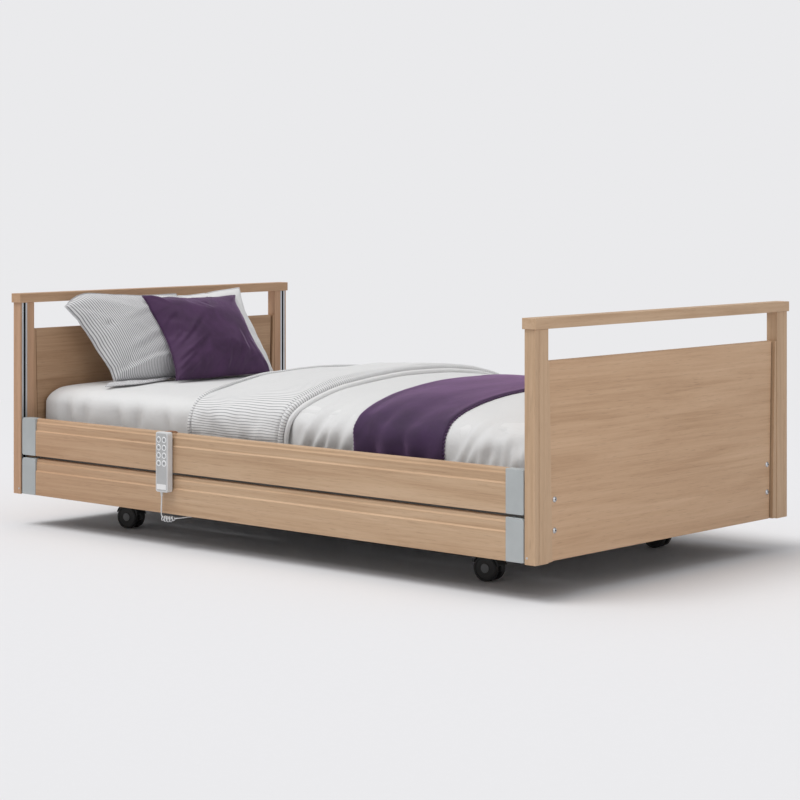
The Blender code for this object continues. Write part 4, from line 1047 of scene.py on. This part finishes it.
def edge_roll(name, x, lift, radius, mat, taper=0.0022):
    """Round rolled edge lying across the cover."""
    p, q = sheet_at(x)
    path, radii = [], []
    for j in range(COUNT):
        side = 1 - sm(0.36, 0.46, COVER[j][1])
        lay = lift(j) if callable(lift) else lift
        path.append((x + edge_shift(j, x > CUT_A), p[j][1] + q[j][1] * lay, p[j][2] + q[j][2] * lay))
        radii.append(radius - taper * side + 0.0007 * nz(j * 0.31, 4.0 + x))
    o = tube(name, np.array(path), np.array(radii), 20)
    o.data.materials.append(mat)
    o.data.shade_smooth()
    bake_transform(o)


edge_roll("duvet_rolled_edge", BACK_END + 0.0085, 0.0135, 0.0108, ROLL)
edge_roll("duvet_under_edge", BACK_END + 0.0250, 0.0040, 0.0085, ROLL_PLAIN, 0.0012)
edge_roll("duvet_head_piping", NOSE + 0.0105, lambda j: (LOFT[j] - 0.028 * TOPNESS[j]) * 0.62 - 0.002, 0.0062, ROLL, 0.0010)

# purple runner across the duvet
R0, R1 = 0.357, 0.700
xs_r = stations(R0, R1, 0.0085, (R0 + 0.0006, R0 + 0.002, R0 + 0.004, R0 + 0.007, R1 - 0.0006, R1 - 0.002, R1 - 0.004, R1 - 0.007))


def runner_shift(x):
    w = sm(R0 + 0.12, R0, x) if x < (R0 + R1) / 2 else sm(R1 - 0.12, R1, x)
    return lambda j: w * (0.006 * nz((COVER_S[j]) * 3.0, 8.0 if x < 0.5 else 15.0) + 0.0015 * nz(COVER_S[j] * 40.0, 2.0))


rings = []
for x in xs_r:
    d = min(x - R0, R1 - x)
    r = 0.0075
    f = math.sqrt(max(0.0, 1 - (1 - min(1.0, d / r)) ** 2))
    hem = 0.0012 * sm(0.030, 0.010, d) * sm(0.0, 0.004, d)
    top = -0.0015 + 0.0085 * f + hem
    rings.append(sheet_ring(x, top, runner_shift(x)) + sheet_ring(x, -0.003, runner_shift(x))[::-1])
banded("runner", xs_r, rings, ring_u, RUNNER, ("bed_runner",))
for name, x, size in (("runner_head_edge", R0 + 0.0010, 0.0016), ("runner_foot_edge", R1 + 0.0008, 0.0031)):
    # overlocked edge: small even beads of thread
    line = np.array(sheet_ring(x, 0.0030, runner_shift(x)))
    s_line = np.concatenate([[0], np.cumsum(np.linalg.norm(np.diff(line, axis=0), axis=1))])
    s_fine = np.linspace(0, s_line[-1], 1500)
    path = np.stack([np.interp(s_fine, s_line, line[:, k]) for k in range(3)], axis=1)
    o = tube(name, path, size * (0.66 + 0.44 * np.sin(2 * math.pi * s_fine / 0.0112)), 8)
    o.data.materials.append(RUNNER)
    o.data.shade_smooth()
    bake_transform(o)

# mattress under its fitted sheet
M_HALF = [(0.0, 0.3006), (0.25, 0.3006), (0.45, 0.3008), (0.492, 0.3025), (0.511, 0.310), (0.518, 0.325), (0.5200, 0.355), (0.5195, 0.395), (0.517, 0.415), (0.508, 0.435), (0.488, 0.4495), (0.455, 0.4585), (0.38, 0.4630), (0.20, 0.4655), (0.0, 0.466)]
line = catmull(M_HALF, 84)
M_RING = np.vstack([line, np.stack([-line[::-1][1:-1, 0], line[::-1][1:-1, 1]], axis=1)])
M_LEN = np.concatenate([[0], np.cumsum(np.linalg.norm(np.diff(np.vstack([M_RING, M_RING[:1]]), axis=0), axis=1))])
M_C = np.array([0.0, 0.383])
t = np.roll(M_RING, -1, axis=0) - np.roll(M_RING, 1, axis=0)
M_N = np.stack([t[:, 1], -t[:, 0]], axis=1)
M_N /= np.linalg.norm(M_N, axis=1)[:, None]
if ((M_RING - M_C) * M_N).sum() < 0:
    M_N = -M_N
X0, X1 = -1.053, 1.0
xs_m = stations(X0, X1, 0.012, [X0 + e for e in (0.0004, 0.002, 0.005, 0.009, 0.014, 0.020, 0.028, 0.038)] + [X1 - e for e in (0.0004, 0.002, 0.005, 0.009, 0.014, 0.020, 0.028, 0.038)])


def sheet_tuck(x, z):
    """Narrow upright tucks where the sheet is drawn under the mattress."""
    out = 0.0
    for c, lean, w in ((-0.94, 0.20, 0.030), (-0.82, -0.10, 0.040), (-0.69, 0.22, 0.030), (-0.575, -0.06, 0.034), (-0.46, 0.20, 0.028), (0.72, 0.1, 0.03), (0.90, -0.1, 0.035)):
        q = (x - c - lean * (0.45 - z)) / w
        out += (0.0165 * q * math.exp(-q * q) - 0.0060 * math.exp(-q * q)) * sm(0.455, 0.35, z)
    return out


rings = []
for x in xs_m:
    d = min(x - X0, X1 - x)
    ring = []
    for j, (y, z) in enumerate(M_RING):
        r = 0.012 + 0.016 * sm(0.40, 0.455, z)
        inset = r - math.sqrt(max(0.0, r * r - (r - d) ** 2)) if d < r else 0.0
        top = sm(0.43, 0.46, z)
        low = 1 - sm(0.303, 0.312, z)
        sidew = 1 - top - low
        # sheet: shallow dimples down the side, a few soft creases on top
        warp = x + 0.05 * (z - 0.38) * nz(x * 2.2, 1.0, y)
        dd = sidew * (0.0085 * nz(warp * 8.0 + 20.0, z * 3.0, 1.0 if y > 0 else 4.0) + 0.0034 * nz(warp * 21.0, z * 5.0, 2.0) + sheet_tuck(x, z))
        dd += top * (0.0016 * nz(x * 4.0, y * 4.0, 3.0) + 0.0009 * nz(x * 11.0 + 2 * y, y * 8.0, 7.0))
        dd += sm(0.14, 0.0, x - X0) * sidew * 0.002 * nz(z * 30.0, x * 9.0, 2.0)
        ny, nz_ = M_N[j]
        off = dd - (inset if z > 0.31 else inset * 0.25)
        sink = 0.012 * sm(-0.24, -0.36, x) * sm(0.36, 0.45, z)
        ring.append((x, y + ny * off, max(0.3003, z + nz_ * off - sink)))
    rings.append(ring)


def banded_solid(name, xs_, rings, uv_u, mat, stands_for):
    """As banded(), for a solid whose ends close with one face each."""
    rings = np.asarray(rings)
    m, n = rings.shape[:2]
    me = bpy.data.meshes.new("whole")
    quads = [(i * n + j, (i + 1) * n + j, (i + 1) * n + (j + 1) % n, i * n + (j + 1) % n) for i in range(m - 1) for j in range(n)]
    me.from_pydata([tuple(v) for v in rings.reshape(-1, 3)], [], quads)
    me.update()
    normals = np.zeros(len(me.vertices) * 3, np.float32)
    me.vertices.foreach_get("normal", normals)
    normals = normals.reshape(m, n, 3)
    c = rings[m // 2].mean(axis=0)
    turn = float(((rings[m // 2] - c) * normals[m // 2]).sum()) < 0
    if turn:
        normals = -normals
    bpy.data.meshes.remove(me)
    made = []
    normals[0], normals[-1] = (-1.0, 0.0, 0.0), (1.0, 0.0, 0.0)
    for k, (a, b, body_a, body_b, start, end) in enumerate(ZONES):
        idx = [i for i, x in enumerate(xs_) if a - 1e-6 <= x <= b + 1e-6]
        i0, i1 = idx[0], idx[-1]
        faces, uvs = [], []
        for i in range(i0, i1):
            for j in range(n):
                q = [(i, j, 0), (i + 1, j, 0), (i + 1, (j + 1) % n, 1), (i, (j + 1) % n, 1)]
                if turn:
                    q = q[::-1]
                faces.append(tuple((p - i0) * n + r for p, r, _ in q))
                uvs += [(uv_u[j + e], xs_[p]) for p, r, e in q]
        for i, direction in ((i0, -1), (i1, 1)):
            # closed across from side to side in narrow strips
            half = n // 2
            cap = [(j, j + 1, n - 1 - j, (n - j) % n) if j else (0, 1, n - 1) for j in range(half)]
            cap = [tuple(dict.fromkeys(f)) for f in cap]
            for f in cap:
                if len(f) < 3:
                    continue
                if not faces_towards([rings[i][v] for v in f], direction):
                    f = f[::-1]
                faces.append(tuple((i - i0) * n + v for v in f))
                uvs += [(rings[i][v][1], rings[i][v][2]) for v in f]
        o = add_object(f"{name}_{('head', 'middle', 'foot')[k]}", rings[i0:i1 + 1].reshape(-1, 3), faces, uvs)
        o.data.materials.append(mat)
        o.data.shade_smooth()
        o.data.normals_split_custom_set_from_vertices([tuple(v) for v in normals[i0:i1 + 1].reshape(-1, 3)])
        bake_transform(o)
        made.append(o)
    for node in stands_for:
        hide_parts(node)
    return made


banded_solid("mattress", xs_m, rings, M_LEN, SHEET, ("mattress_back_section", "mattress_seat_section", "mattress_thigh_section", "mattress_calf_section"))


# ------------------------------------------------------------------ pillows
def flat_case(nu, nv, w, h, dome, seed):
    """Two layers of cloth joined round their edge, laid almost flat. Returns vertices, faces, cloth coordinates, and the seam's vertices in order."""
    verts, index = [], {}
    for layer in (1, -1):
        for i in range(nu + 1):
            for j in range(nv + 1):
                edge = i in (0, nu) or j in (0, nv)
                if edge and layer == -1:
                    index[(layer, i, j)] = index[(1, i, j)]
                    continue
                u, v = (i / nu - 0.5) * w, (j / nv - 0.5) * h
                t = dome * max(0.0, math.sin(math.pi * i / nu)) ** 0.5 * max(0.0, math.sin(math.pi * j / nv)) ** 0.5
                wob = 0.0015 * nz(u * 14 + seed, v * 14, layer * 3.0 + seed)
                index[(layer, i, j)] = len(verts)
                verts.append((u, v, layer * t + (0.0 if edge else wob)))
    faces, uvs = [], []
    for layer in (1, -1):
        for i in range(nu):
            for j in range(nv):
                c = [(i, j), (i + 1, j), (i + 1, j + 1), (i, j + 1)]
                if layer == -1:
                    c = c[::-1]
                faces.append(tuple(index[(layer, a, b)] for a, b in c))
                uvs += [((a / nu) * w + (0.0 if layer == 1 else 2.0), (b / nv) * h) for a, b in c]
    seam = [index[(1, i, 0)] for i in range(nu)] + [index[(1, nu, j)] for j in range(nv)] + [index[(1, i, nv)] for i in range(nu, 0, -1)] + [index[(1, 0, j)] for j in range(nv, 0, -1)]
    return verts, faces, uvs, seam


def inflate(o, pressure, frames, bend=0.4, tension=18.0, shrink=0.0, quality=6):
    cloth = o.modifiers.new("cloth", "CLOTH")
    s = cloth.settings
    s.quality = quality
    s.mass = 0.25
    s.tension_stiffness = tension
    s.compression_stiffness = tension
    s.shear_stiffness = tension * 0.45
    s.bending_stiffness = bend
    s.tension_damping = s.compression_damping = 8
    s.shear_damping = 6
    s.air_damping = 3.0
    s.shrink_min = shrink
    s.use_pressure = True
    s.uniform_pressure_force = pressure
    s.effector_weights.gravity = 0.0
    cloth.collision_settings.use_collision = False
    cloth.point_cache.frame_start = 1
    cloth.point_cache.frame_end = frames + 1
    for f in range(1, frames + 1):
        SCENE.frame_set(f)
    graph = bpy.context.evaluated_depsgraph_get()
    mesh = bpy.data.meshes.new_from_object(o.evaluated_get(graph))
    o.modifiers.remove(cloth)
    old = o.data
    o.data = mesh
    bpy.data.meshes.remove(old)
    SCENE.frame_set(1)


def ridge(a, b, p, q, w, amp, skew=1.0):
    """A crease from p to q in a case's own coordinates: a rise with a dip beside it, dying out at both ends."""
    dx, dy = q[0] - p[0], q[1] - p[1]
    length = math.hypot(dx, dy)
    dx, dy = dx / length, dy / length
    t = ((a - p[0]) * dx + (b - p[1]) * dy) / length
    s = (-(a - p[0]) * dy + (b - p[1]) * dx) / w
    if abs(s) > 3 or t < -0.3 or t > 1.3:
        return 0.0
    fade = sm(-0.25, 0.25, t) * sm(1.25, 0.65, t)
    return amp * fade * ((1 - skew) * math.exp(-s * s) + skew * 1.8 * s * math.exp(-s * s))


def pillow(name, grid, edges, thick, mat, node, seed, pressure=5.0, frames=22, bend=0.4, tension=18.0, rest_z=0.4550, pinch=0.35, back=0.6, fill=0.75, wrinkle=None):
    """A sewn, filled case whose seam follows four drawn edges (bottom, right, top, left, as seen from the foot end)."""
    def along(points):
        line = catmull(points, 200)
        return lambda t: line[np.clip((np.asarray(t) * 199).round().astype(int), 0, 199)] * 0 + np.stack([np.interp(np.asarray(t) * 199, np.arange(200), line[:, k]) for k in range(3)], axis=-1)

    bottom, right, top, left = (along(edges[k]) for k in ("bottom", "right", "top", "left"))
    w = float(np.linalg.norm(np.diff(catmull(edges["bottom"], 40), axis=0), axis=1).sum())
    h = float(np.linalg.norm(np.diff(catmull(edges["left"], 40), axis=0), axis=1).sum())
    nu, nv = grid
    verts, faces, uvs, seam = flat_case(nu, nv, w, h, 0.016, seed)
    flat = np.array(verts)
    o = add_object(name, verts, faces, uvs)
    inflate(o, pressure, frames, bend, tension)
    co = np.array([v.co for v in o.data.vertices], float)
    a, b = flat[:, 0] / w + 0.5, flat[:, 1] / h + 0.5
    us = (co[:, 0] - co[:, 0].min()) / np.ptp(co[:, 0])
    vs = (co[:, 1] - co[:, 1].min()) / np.ptp(co[:, 1])
    # the bottom seam lies along the bed; the others are drawn in by the filling
    pull = pinch * (0.25 + 0.75 * np.clip(b / 0.3, 0, 1))
    u, v = a + pull * (us - a), b + pull * (vs - b)
    d = co[:, 2] / (np.ptp(co[:, 2]) / 2)
    d = np.sign(d) * np.abs(d) ** fill * thick / 2
    d = np.where(d < 0, d * back, d)
    u3, v3 = u[:, None], v[:, None]
    bl, br, tr, tl = bottom(0.0), bottom(1.0), top(1.0), top(0.0)
    base = (1 - v3) * bottom(u) + v3 * top(u) + (1 - u3) * left(v) + u3 * right(v) - ((1 - u3) * (1 - v3) * bl + u3 * (1 - v3) * br + u3 * v3 * tr + (1 - u3) * v3 * tl)
    across = (br - bl + tr - tl)
    rise = (tl - bl + tr - br)
    n = np.cross(across, rise)
    n /= np.linalg.norm(n)
    if n[0] < 0:
        n = -n
    if wrinkle is not None:
        front = np.clip((d - 0.002) / 0.006, 0.0, 1.0)
        d = d + (0.15 + 0.85 * front) * np.array([wrinkle(p, q) for p, q in zip(a, b)]) * np.where(d < 0, 0.3, 1.0)
    pts = base + n * d[:, None]
    # what would sink into the bed is pressed flat on it
    low = rest_z + 0.0020
    under = np.clip(low + 0.014 - pts[:, 2], 0.0, None)
    pressed = low + 0.014 - 0.014 * (1 - np.exp(-under / 0.014))
    pts[:, 2] = np.where(under > 0, np.maximum(pressed, low), pts[:, 2])
    pts[:, 0] = np.maximum(pts[:, 0], -1.046)
    o.data.vertices.foreach_set("co", pts.astype(np.float32).ravel())
    o.data.update()
    bm = bmesh.new()
    bm.from_mesh(o.data)
    bmesh.ops.recalc_face_normals(bm, faces=bm.faces[:])
    bm.to_mesh(o.data)
    bm.free()
    o.data.materials.append(mat)
    o.data.shade_smooth()
    sub = o.modifiers.new("smooth", "SUBSURF")
    sub.levels = sub.render_levels = 1
    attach(o, "backrest")
    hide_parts(node)
    return o, np.array([o.data.vertices[i].co for i in seam])


def seam_cord(name, ring, radius, mat):
    closed = np.vstack([ring, ring[:1], ring[1:2]])
    o = tube(name, closed, radius, 8, cap=False)
    o.data.materials.append(mat)
    o.data.shade_smooth()
    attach(o, "backrest")


def striped_creases(a, b):
    out = 0.0030 * nz(a * 4.0, b * 5.0, 3.0) + 0.0014 * nz(a * 11.0 + b * 4.0, b * 9.0, 6.0)
    for p, q, w, amp in (((0.22, 0.30), (0.62, 0.52), 0.040, 0.0050), ((0.05, 0.10), (0.40, 0.22), 0.030, -0.0060), ((0.40, 0.22), (0.85, 0.30), 0.035, -0.0045),
                         ((0.30, 0.62), (0.62, 0.78), 0.035, 0.0030), ((0.10, 0.75), (0.22, 0.45), 0.030, 0.0028), ((0.55, 0.12), (0.60, 0.40), 0.03, 0.0030)):
        out += ridge(a, b, p, q, w, amp, 0.8)
    # two buttoned points
    for ca, cb in ((0.155, 0.60), (0.155, 0.20)):
        out -= 0.0075 * math.exp(-((a - ca) ** 2 + (b - cb) ** 2) / 0.0011)
    return out


def plain_creases(a, b):
    return 0.0025 * nz(a * 5.0, b * 7.0, 3.0) + 0.0015 * nz(a * 12.0 + b * 4.0, b * 9.0, 6.0) + ridge(a, b, (0.99, 0.15), (0.80, 0.45), 0.03, 0.004)


def cushion_creases(a, b):
    """Creases running up from the lower left edge, upright folds at the lower right, and a pinched upper left corner."""
    out = 0.0020 * nz(a * 3.5, b * 3.5, 2.0) + 0.0008 * nz(a * 10.0, b * 10.0, 8.0)
    for p, q, w, amp, k in (((0.03, 0.20), (0.30, 0.38), 0.026, 0.0068, 0.8), ((0.02, 0.10), (0.20, 0.27), 0.022, 0.0055, 0.8), ((0.06, 0.36), (0.34, 0.62), 0.028, 0.0062, 0.8),
                            ((0.00, 0.40), (0.12, 0.50), 0.022, 0.0045, 0.8), ((0.02, 0.62), (0.14, 0.72), 0.024, 0.0035, 0.8), ((0.10, 0.03), (0.22, 0.16), 0.022, 0.0045, 0.8),
                            ((0.52, 0.06), (0.53, 0.32), 0.024, 0.0048, 0.8), ((0.65, 0.07), (0.67, 0.31), 0.024, -0.0046, 0.8), ((0.73, 0.16), (0.72, 0.44), 0.026, 0.0042, 0.8),
                            ((0.90, 0.12), (0.84, 0.36), 0.026, 0.0050, 0.8), ((0.97, 0.05), (0.86, 0.16), 0.020, -0.0040, 0.8), ((0.02, 0.98), (0.12, 0.84), 0.020, 0.0050, 0.8),
                            ((0.06, 0.99), (0.22, 0.90), 0.018, -0.0045, 0.8), ((0.97, 0.97), (0.86, 0.86), 0.020, 0.0045, 0.8)):
        out += ridge(a, b, p, q, w, amp, k)
    return out


o, ring = pillow("white_pillow_case", (56, 46),
                 {"bottom": [(-0.850, -0.060, 0.4600), (-0.843, 0.150, 0.4600), (-0.835, 0.328, 0.4605)],
                  "right": [(-0.835, 0.328, 0.4605), (-0.866, 0.325, 0.522), (-0.915, 0.316, 0.605), (-0.956, 0.308, 0.673), (-1.000, 0.326, 0.750)],
                  "top": [(-1.000, -0.080, 0.736), (-0.993, 0.003, 0.731), (-0.996, 0.119, 0.737), (-1.000, 0.219, 0.744), (-1.000, 0.326, 0.750)],
                  "left": [(-0.850, -0.060, 0.4600), (-0.925, -0.065, 0.600), (-1.000, -0.080, 0.736)]},
                 0.105, PILLOW_WHITE, "white_pillow", 4.0, pressure=5.0, pinch=0.15, back=0.7, wrinkle=plain_creases)
seam_cord("white_pillow_seam", ring, 0.0016, PILLOW_WHITE)
o, ring = pillow("striped_pillow_case", (74, 50),
                 {"bottom": [(-0.903, -0.343, 0.4600), (-0.880, -0.240, 0.4600), (-0.880, -0.100, 0.4600), (-0.895, 0.060, 0.4600)],
                  "right": [(-0.895, 0.060, 0.4600), (-0.955, 0.055, 0.600), (-1.014, 0.035, 0.737)],
                  "top": [(-1.005, -0.470, 0.712), (-1.013, -0.436, 0.734), (-1.019, -0.387, 0.751), (-1.018, -0.327, 0.752), (-1.016, -0.225, 0.744), (-1.014, -0.125, 0.738), (-1.014, 0.035, 0.737)],
                  "left": [(-0.903, -0.343, 0.4600), (-0.915, -0.352, 0.500), (-0.925, -0.364, 0.522), (-0.951, -0.392, 0.583), (-0.967, -0.413, 0.623), (-0.989, -0.446, 0.676), (-1.005, -0.470, 0.712)]},
                 0.125, PILLOW_STRIPE, "striped_pillow", 7.0, pressure=4.5, pinch=0.10, back=0.5, wrinkle=striped_creases)
seam_cord("striped_pillow_seam", ring, 0.0016, PILLOW_STRIPE)
o, ring = pillow("velvet_cushion", (66, 56),
                 {"bottom": [(-0.769, -0.190, 0.4600), (-0.772, -0.060, 0.4600), (-0.770, 0.090, 0.4600), (-0.768, 0.252, 0.4605)],
                  "right": [(-0.768, 0.252, 0.4605), (-0.795, 0.243, 0.508), (-0.828, 0.232, 0.553), (-0.885, 0.230, 0.637), (-0.925, 0.234, 0.694), (-0.945, 0.253, 0.727)],
                  "top": [(-0.954, -0.179, 0.739), (-0.954, -0.139, 0.738), (-0.950, -0.110, 0.7315), (-0.949, -0.060, 0.732), (-0.947, 0.000, 0.730), (-0.944, 0.080, 0.726), (-0.944, 0.160, 0.725), (-0.946, 0.216, 0.727), (-0.945, 0.253, 0.727)],
                  "left": [(-0.769, -0.190, 0.4600), (-0.797, -0.172, 0.508), (-0.844, -0.157, 0.577), (-0.888, -0.160, 0.641), (-0.919, -0.167, 0.687), (-0.936, -0.170, 0.713), (-0.954, -0.179, 0.739)]},
                 0.165, CUSHION, "purple_cushion", 2.0, pressure=6.0, pinch=0.12, back=0.45, fill=0.78, wrinkle=cushion_creases)
seam_cord("velvet_cushion_seam", ring, 0.0014, CUSHION)

# flap of the striped case, lying forward on the sheet
rows, uv_rows = [], []
for i in range(31):
    t = i / 30
    back_edge = np.array([(-0.900 + 0.020 * math.sin(math.pi * t)), -0.348 + 0.33 * t, 0.4590])
    front_edge = np.array([-0.812 + 0.018 * math.sin(math.pi * t * 1.2) - 0.028 * t, -0.463 + 0.30 * t, 0.4580])
    row = []
    for k in range(13):
        q = k / 12
        p = back_edge * (1 - q) + front_edge * q
        lift = 0.010 * math.sin(math.pi * q) * (0.6 + 0.4 * nz(t * 6.0, 2.0)) + 0.0020 * abs(nz(t * 16.0, q * 3.0, 1.0))
        row.append((p[0], p[1], p[2] + lift))
    rows.append(row)
    uv_rows.append([(0.33 * t + 0.04 * k / 12, 0.10 * k / 12) for k in range(13)])
verts = [p for row in rows for p in row]
faces = [(i * 13 + k, (i + 1) * 13 + k, (i + 1) * 13 + k + 1, i * 13 + k + 1) for i in range(30) for k in range(12)]
flap_uv = [uv_rows[v // 13][v % 13] for f in faces for v in f]
o = add_object("striped_pillow_flap", verts, faces, flap_uv)
o.data.materials.append(PILLOW_STRIPE)
o.data.shade_smooth()
solid = o.modifiers.new("thickness", "SOLIDIFY")
solid.thickness = 0.0026
solid.offset = 0.0
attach(o, "backrest")


# ============================================================ floor, lights
s = Shader("studio_floor")
geo = s.node("ShaderNodeNewGeometry", out="Position")
s.node("ShaderNodeSeparateXYZ", {0: geo})
sep = s.tree.nodes[-1]
dist = s.math("SQRT", s.math("ADD", s.math("POWER", sep.outputs[0], 2.0), s.math("POWER", sep.outputs[1], 2.0)))
fade = s.range(dist, 2.4, 5.0)
fine = s.noise(geo, 40.0, 3.0, 0.6)
FLOOR_RGB = 0.806
s.put(s.bsdf.inputs["Base Color"], s.mix(s.range(fine, 0.3, 0.7), (FLOOR_RGB * 0.995, FLOOR_RGB * 0.996, FLOOR_RGB * 1.018), (FLOOR_RGB * 1.003, FLOOR_RGB * 1.004, FLOOR_RGB * 1.028)))
s.put(s.bsdf.inputs["Roughness"], 0.75)
s.put(s.bsdf.inputs["Specular IOR Level"], 0.0)
BACK = (0.823, 0.823, 0.838)
glow = s.node("ShaderNodeEmission", {"Color": BACK, "Strength": 1.0})
mixer = s.tree.nodes.new("ShaderNodeMixShader")
s.put(mixer.inputs[0], fade)
s.tree.links.new(s.bsdf.outputs[0], mixer.inputs[1])
s.tree.links.new(glow, mixer.inputs[2])
s.tree.links.new(mixer.outputs[0], s.out.inputs[0])
floor = add_object("studio_floor", [(-60, -60, 0), (60, -60, 0), (60, 60, 0), (-60, 60, 0)], [(0, 1, 2, 3)])
floor.data.materials.append(s.mat)

world = bpy.data.worlds.new("studio")
SCENE.world = world
world.use_nodes = True
wt = world.node_tree
wt.nodes.clear()
wo = wt.nodes.new("ShaderNodeOutputWorld")
lit, seen, pick, path_ = wt.nodes.new("ShaderNodeBackground"), wt.nodes.new("ShaderNodeBackground"), wt.nodes.new("ShaderNodeMixShader"), wt.nodes.new("ShaderNodeLightPath")
WORLD = 0.42
lit.inputs[0].default_value = (1.0, 1.0, 1.01, 1.0)
lit.inputs[1].default_value = WORLD
seen.inputs[0].default_value = (*BACK, 1.0)
seen.inputs[1].default_value = 1.0
wt.links.new(path_.outputs["Is Camera Ray"], pick.inputs[0])
wt.links.new(lit.outputs[0], pick.inputs[1])
wt.links.new(seen.outputs[0], pick.inputs[2])
wt.links.new(pick.outputs[0], wo.inputs[0])


def sun(name, towards, strength, angle, colour=(1, 1, 1)):
    light = bpy.data.lights.new(name, "SUN")
    light.energy = strength
    light.angle = math.radians(angle)
    light.color = colour
    o = bpy.data.objects.new(name, light)
    SCENE.collection.objects.link(o)
    o.rotation_euler = Vector(towards).normalized().to_track_quat("-Z", "Y").to_euler()
    return o


sun("key_softbox", (0.22, 0.47, -1.0), 1.45, 34.0, (1.0, 0.995, 0.985))
sun("top_softbox", (0.10, 0.10, -1.0), 0.66, 75.0)


def panel_light(name, place, aim, size, power):
    light = bpy.data.lights.new(name, "AREA")
    light.shape = "SQUARE"
    light.size = size
    light.energy = power
    o = bpy.data.objects.new(name, light)
    SCENE.collection.objects.link(o)
    o.location = place
    o.rotation_euler = (Vector(aim) - Vector(place)).to_track_quat("-Z", "Y").to_euler()
    spared = bpy.data.collections.new(name + "_spares")
    spared.objects.link(floor)
    o.light_linking.receiver_collection = spared
    for entry in spared.collection_objects:
        entry.light_linking.link_state = "EXCLUDE"


panel_light("foot_end_fill", (3.3, -1.1, 1.5), (1.05, 0.0, 0.45), 1.6, 15.0)

camera = bpy.data.cameras.new("photo_camera")
camera.sensor_width = 36.0
camera.lens = 102.3
camera.clip_start, camera.clip_end = 0.05, 200.0
cam = bpy.data.objects.new("photo_camera", camera)
SCENE.collection.objects.link(cam)
cam.location = (4.828, -5.328, 1.097)
cam.rotation_euler = (math.radians(90.0), 0.0, math.radians(41.826))
SCENE.camera = cam
camera.shift_y = -0.2625
drive = camera.driver_add("shift_y").driver
drive.type = "SCRIPTED"
var = drive.variables.new()
var.name = "x"
var.type = "SINGLE_PROP"
var.targets[0].id = cam
var.targets[0].data_path = "location[0]"
drive.expression = "-0.2625 if abs(x - 4.828) < 0.001 else 0.0"

SCENE.view_settings.view_transform = "Standard"
SCENE.view_settings.look = "None"

bpy.context.view_layer.update()
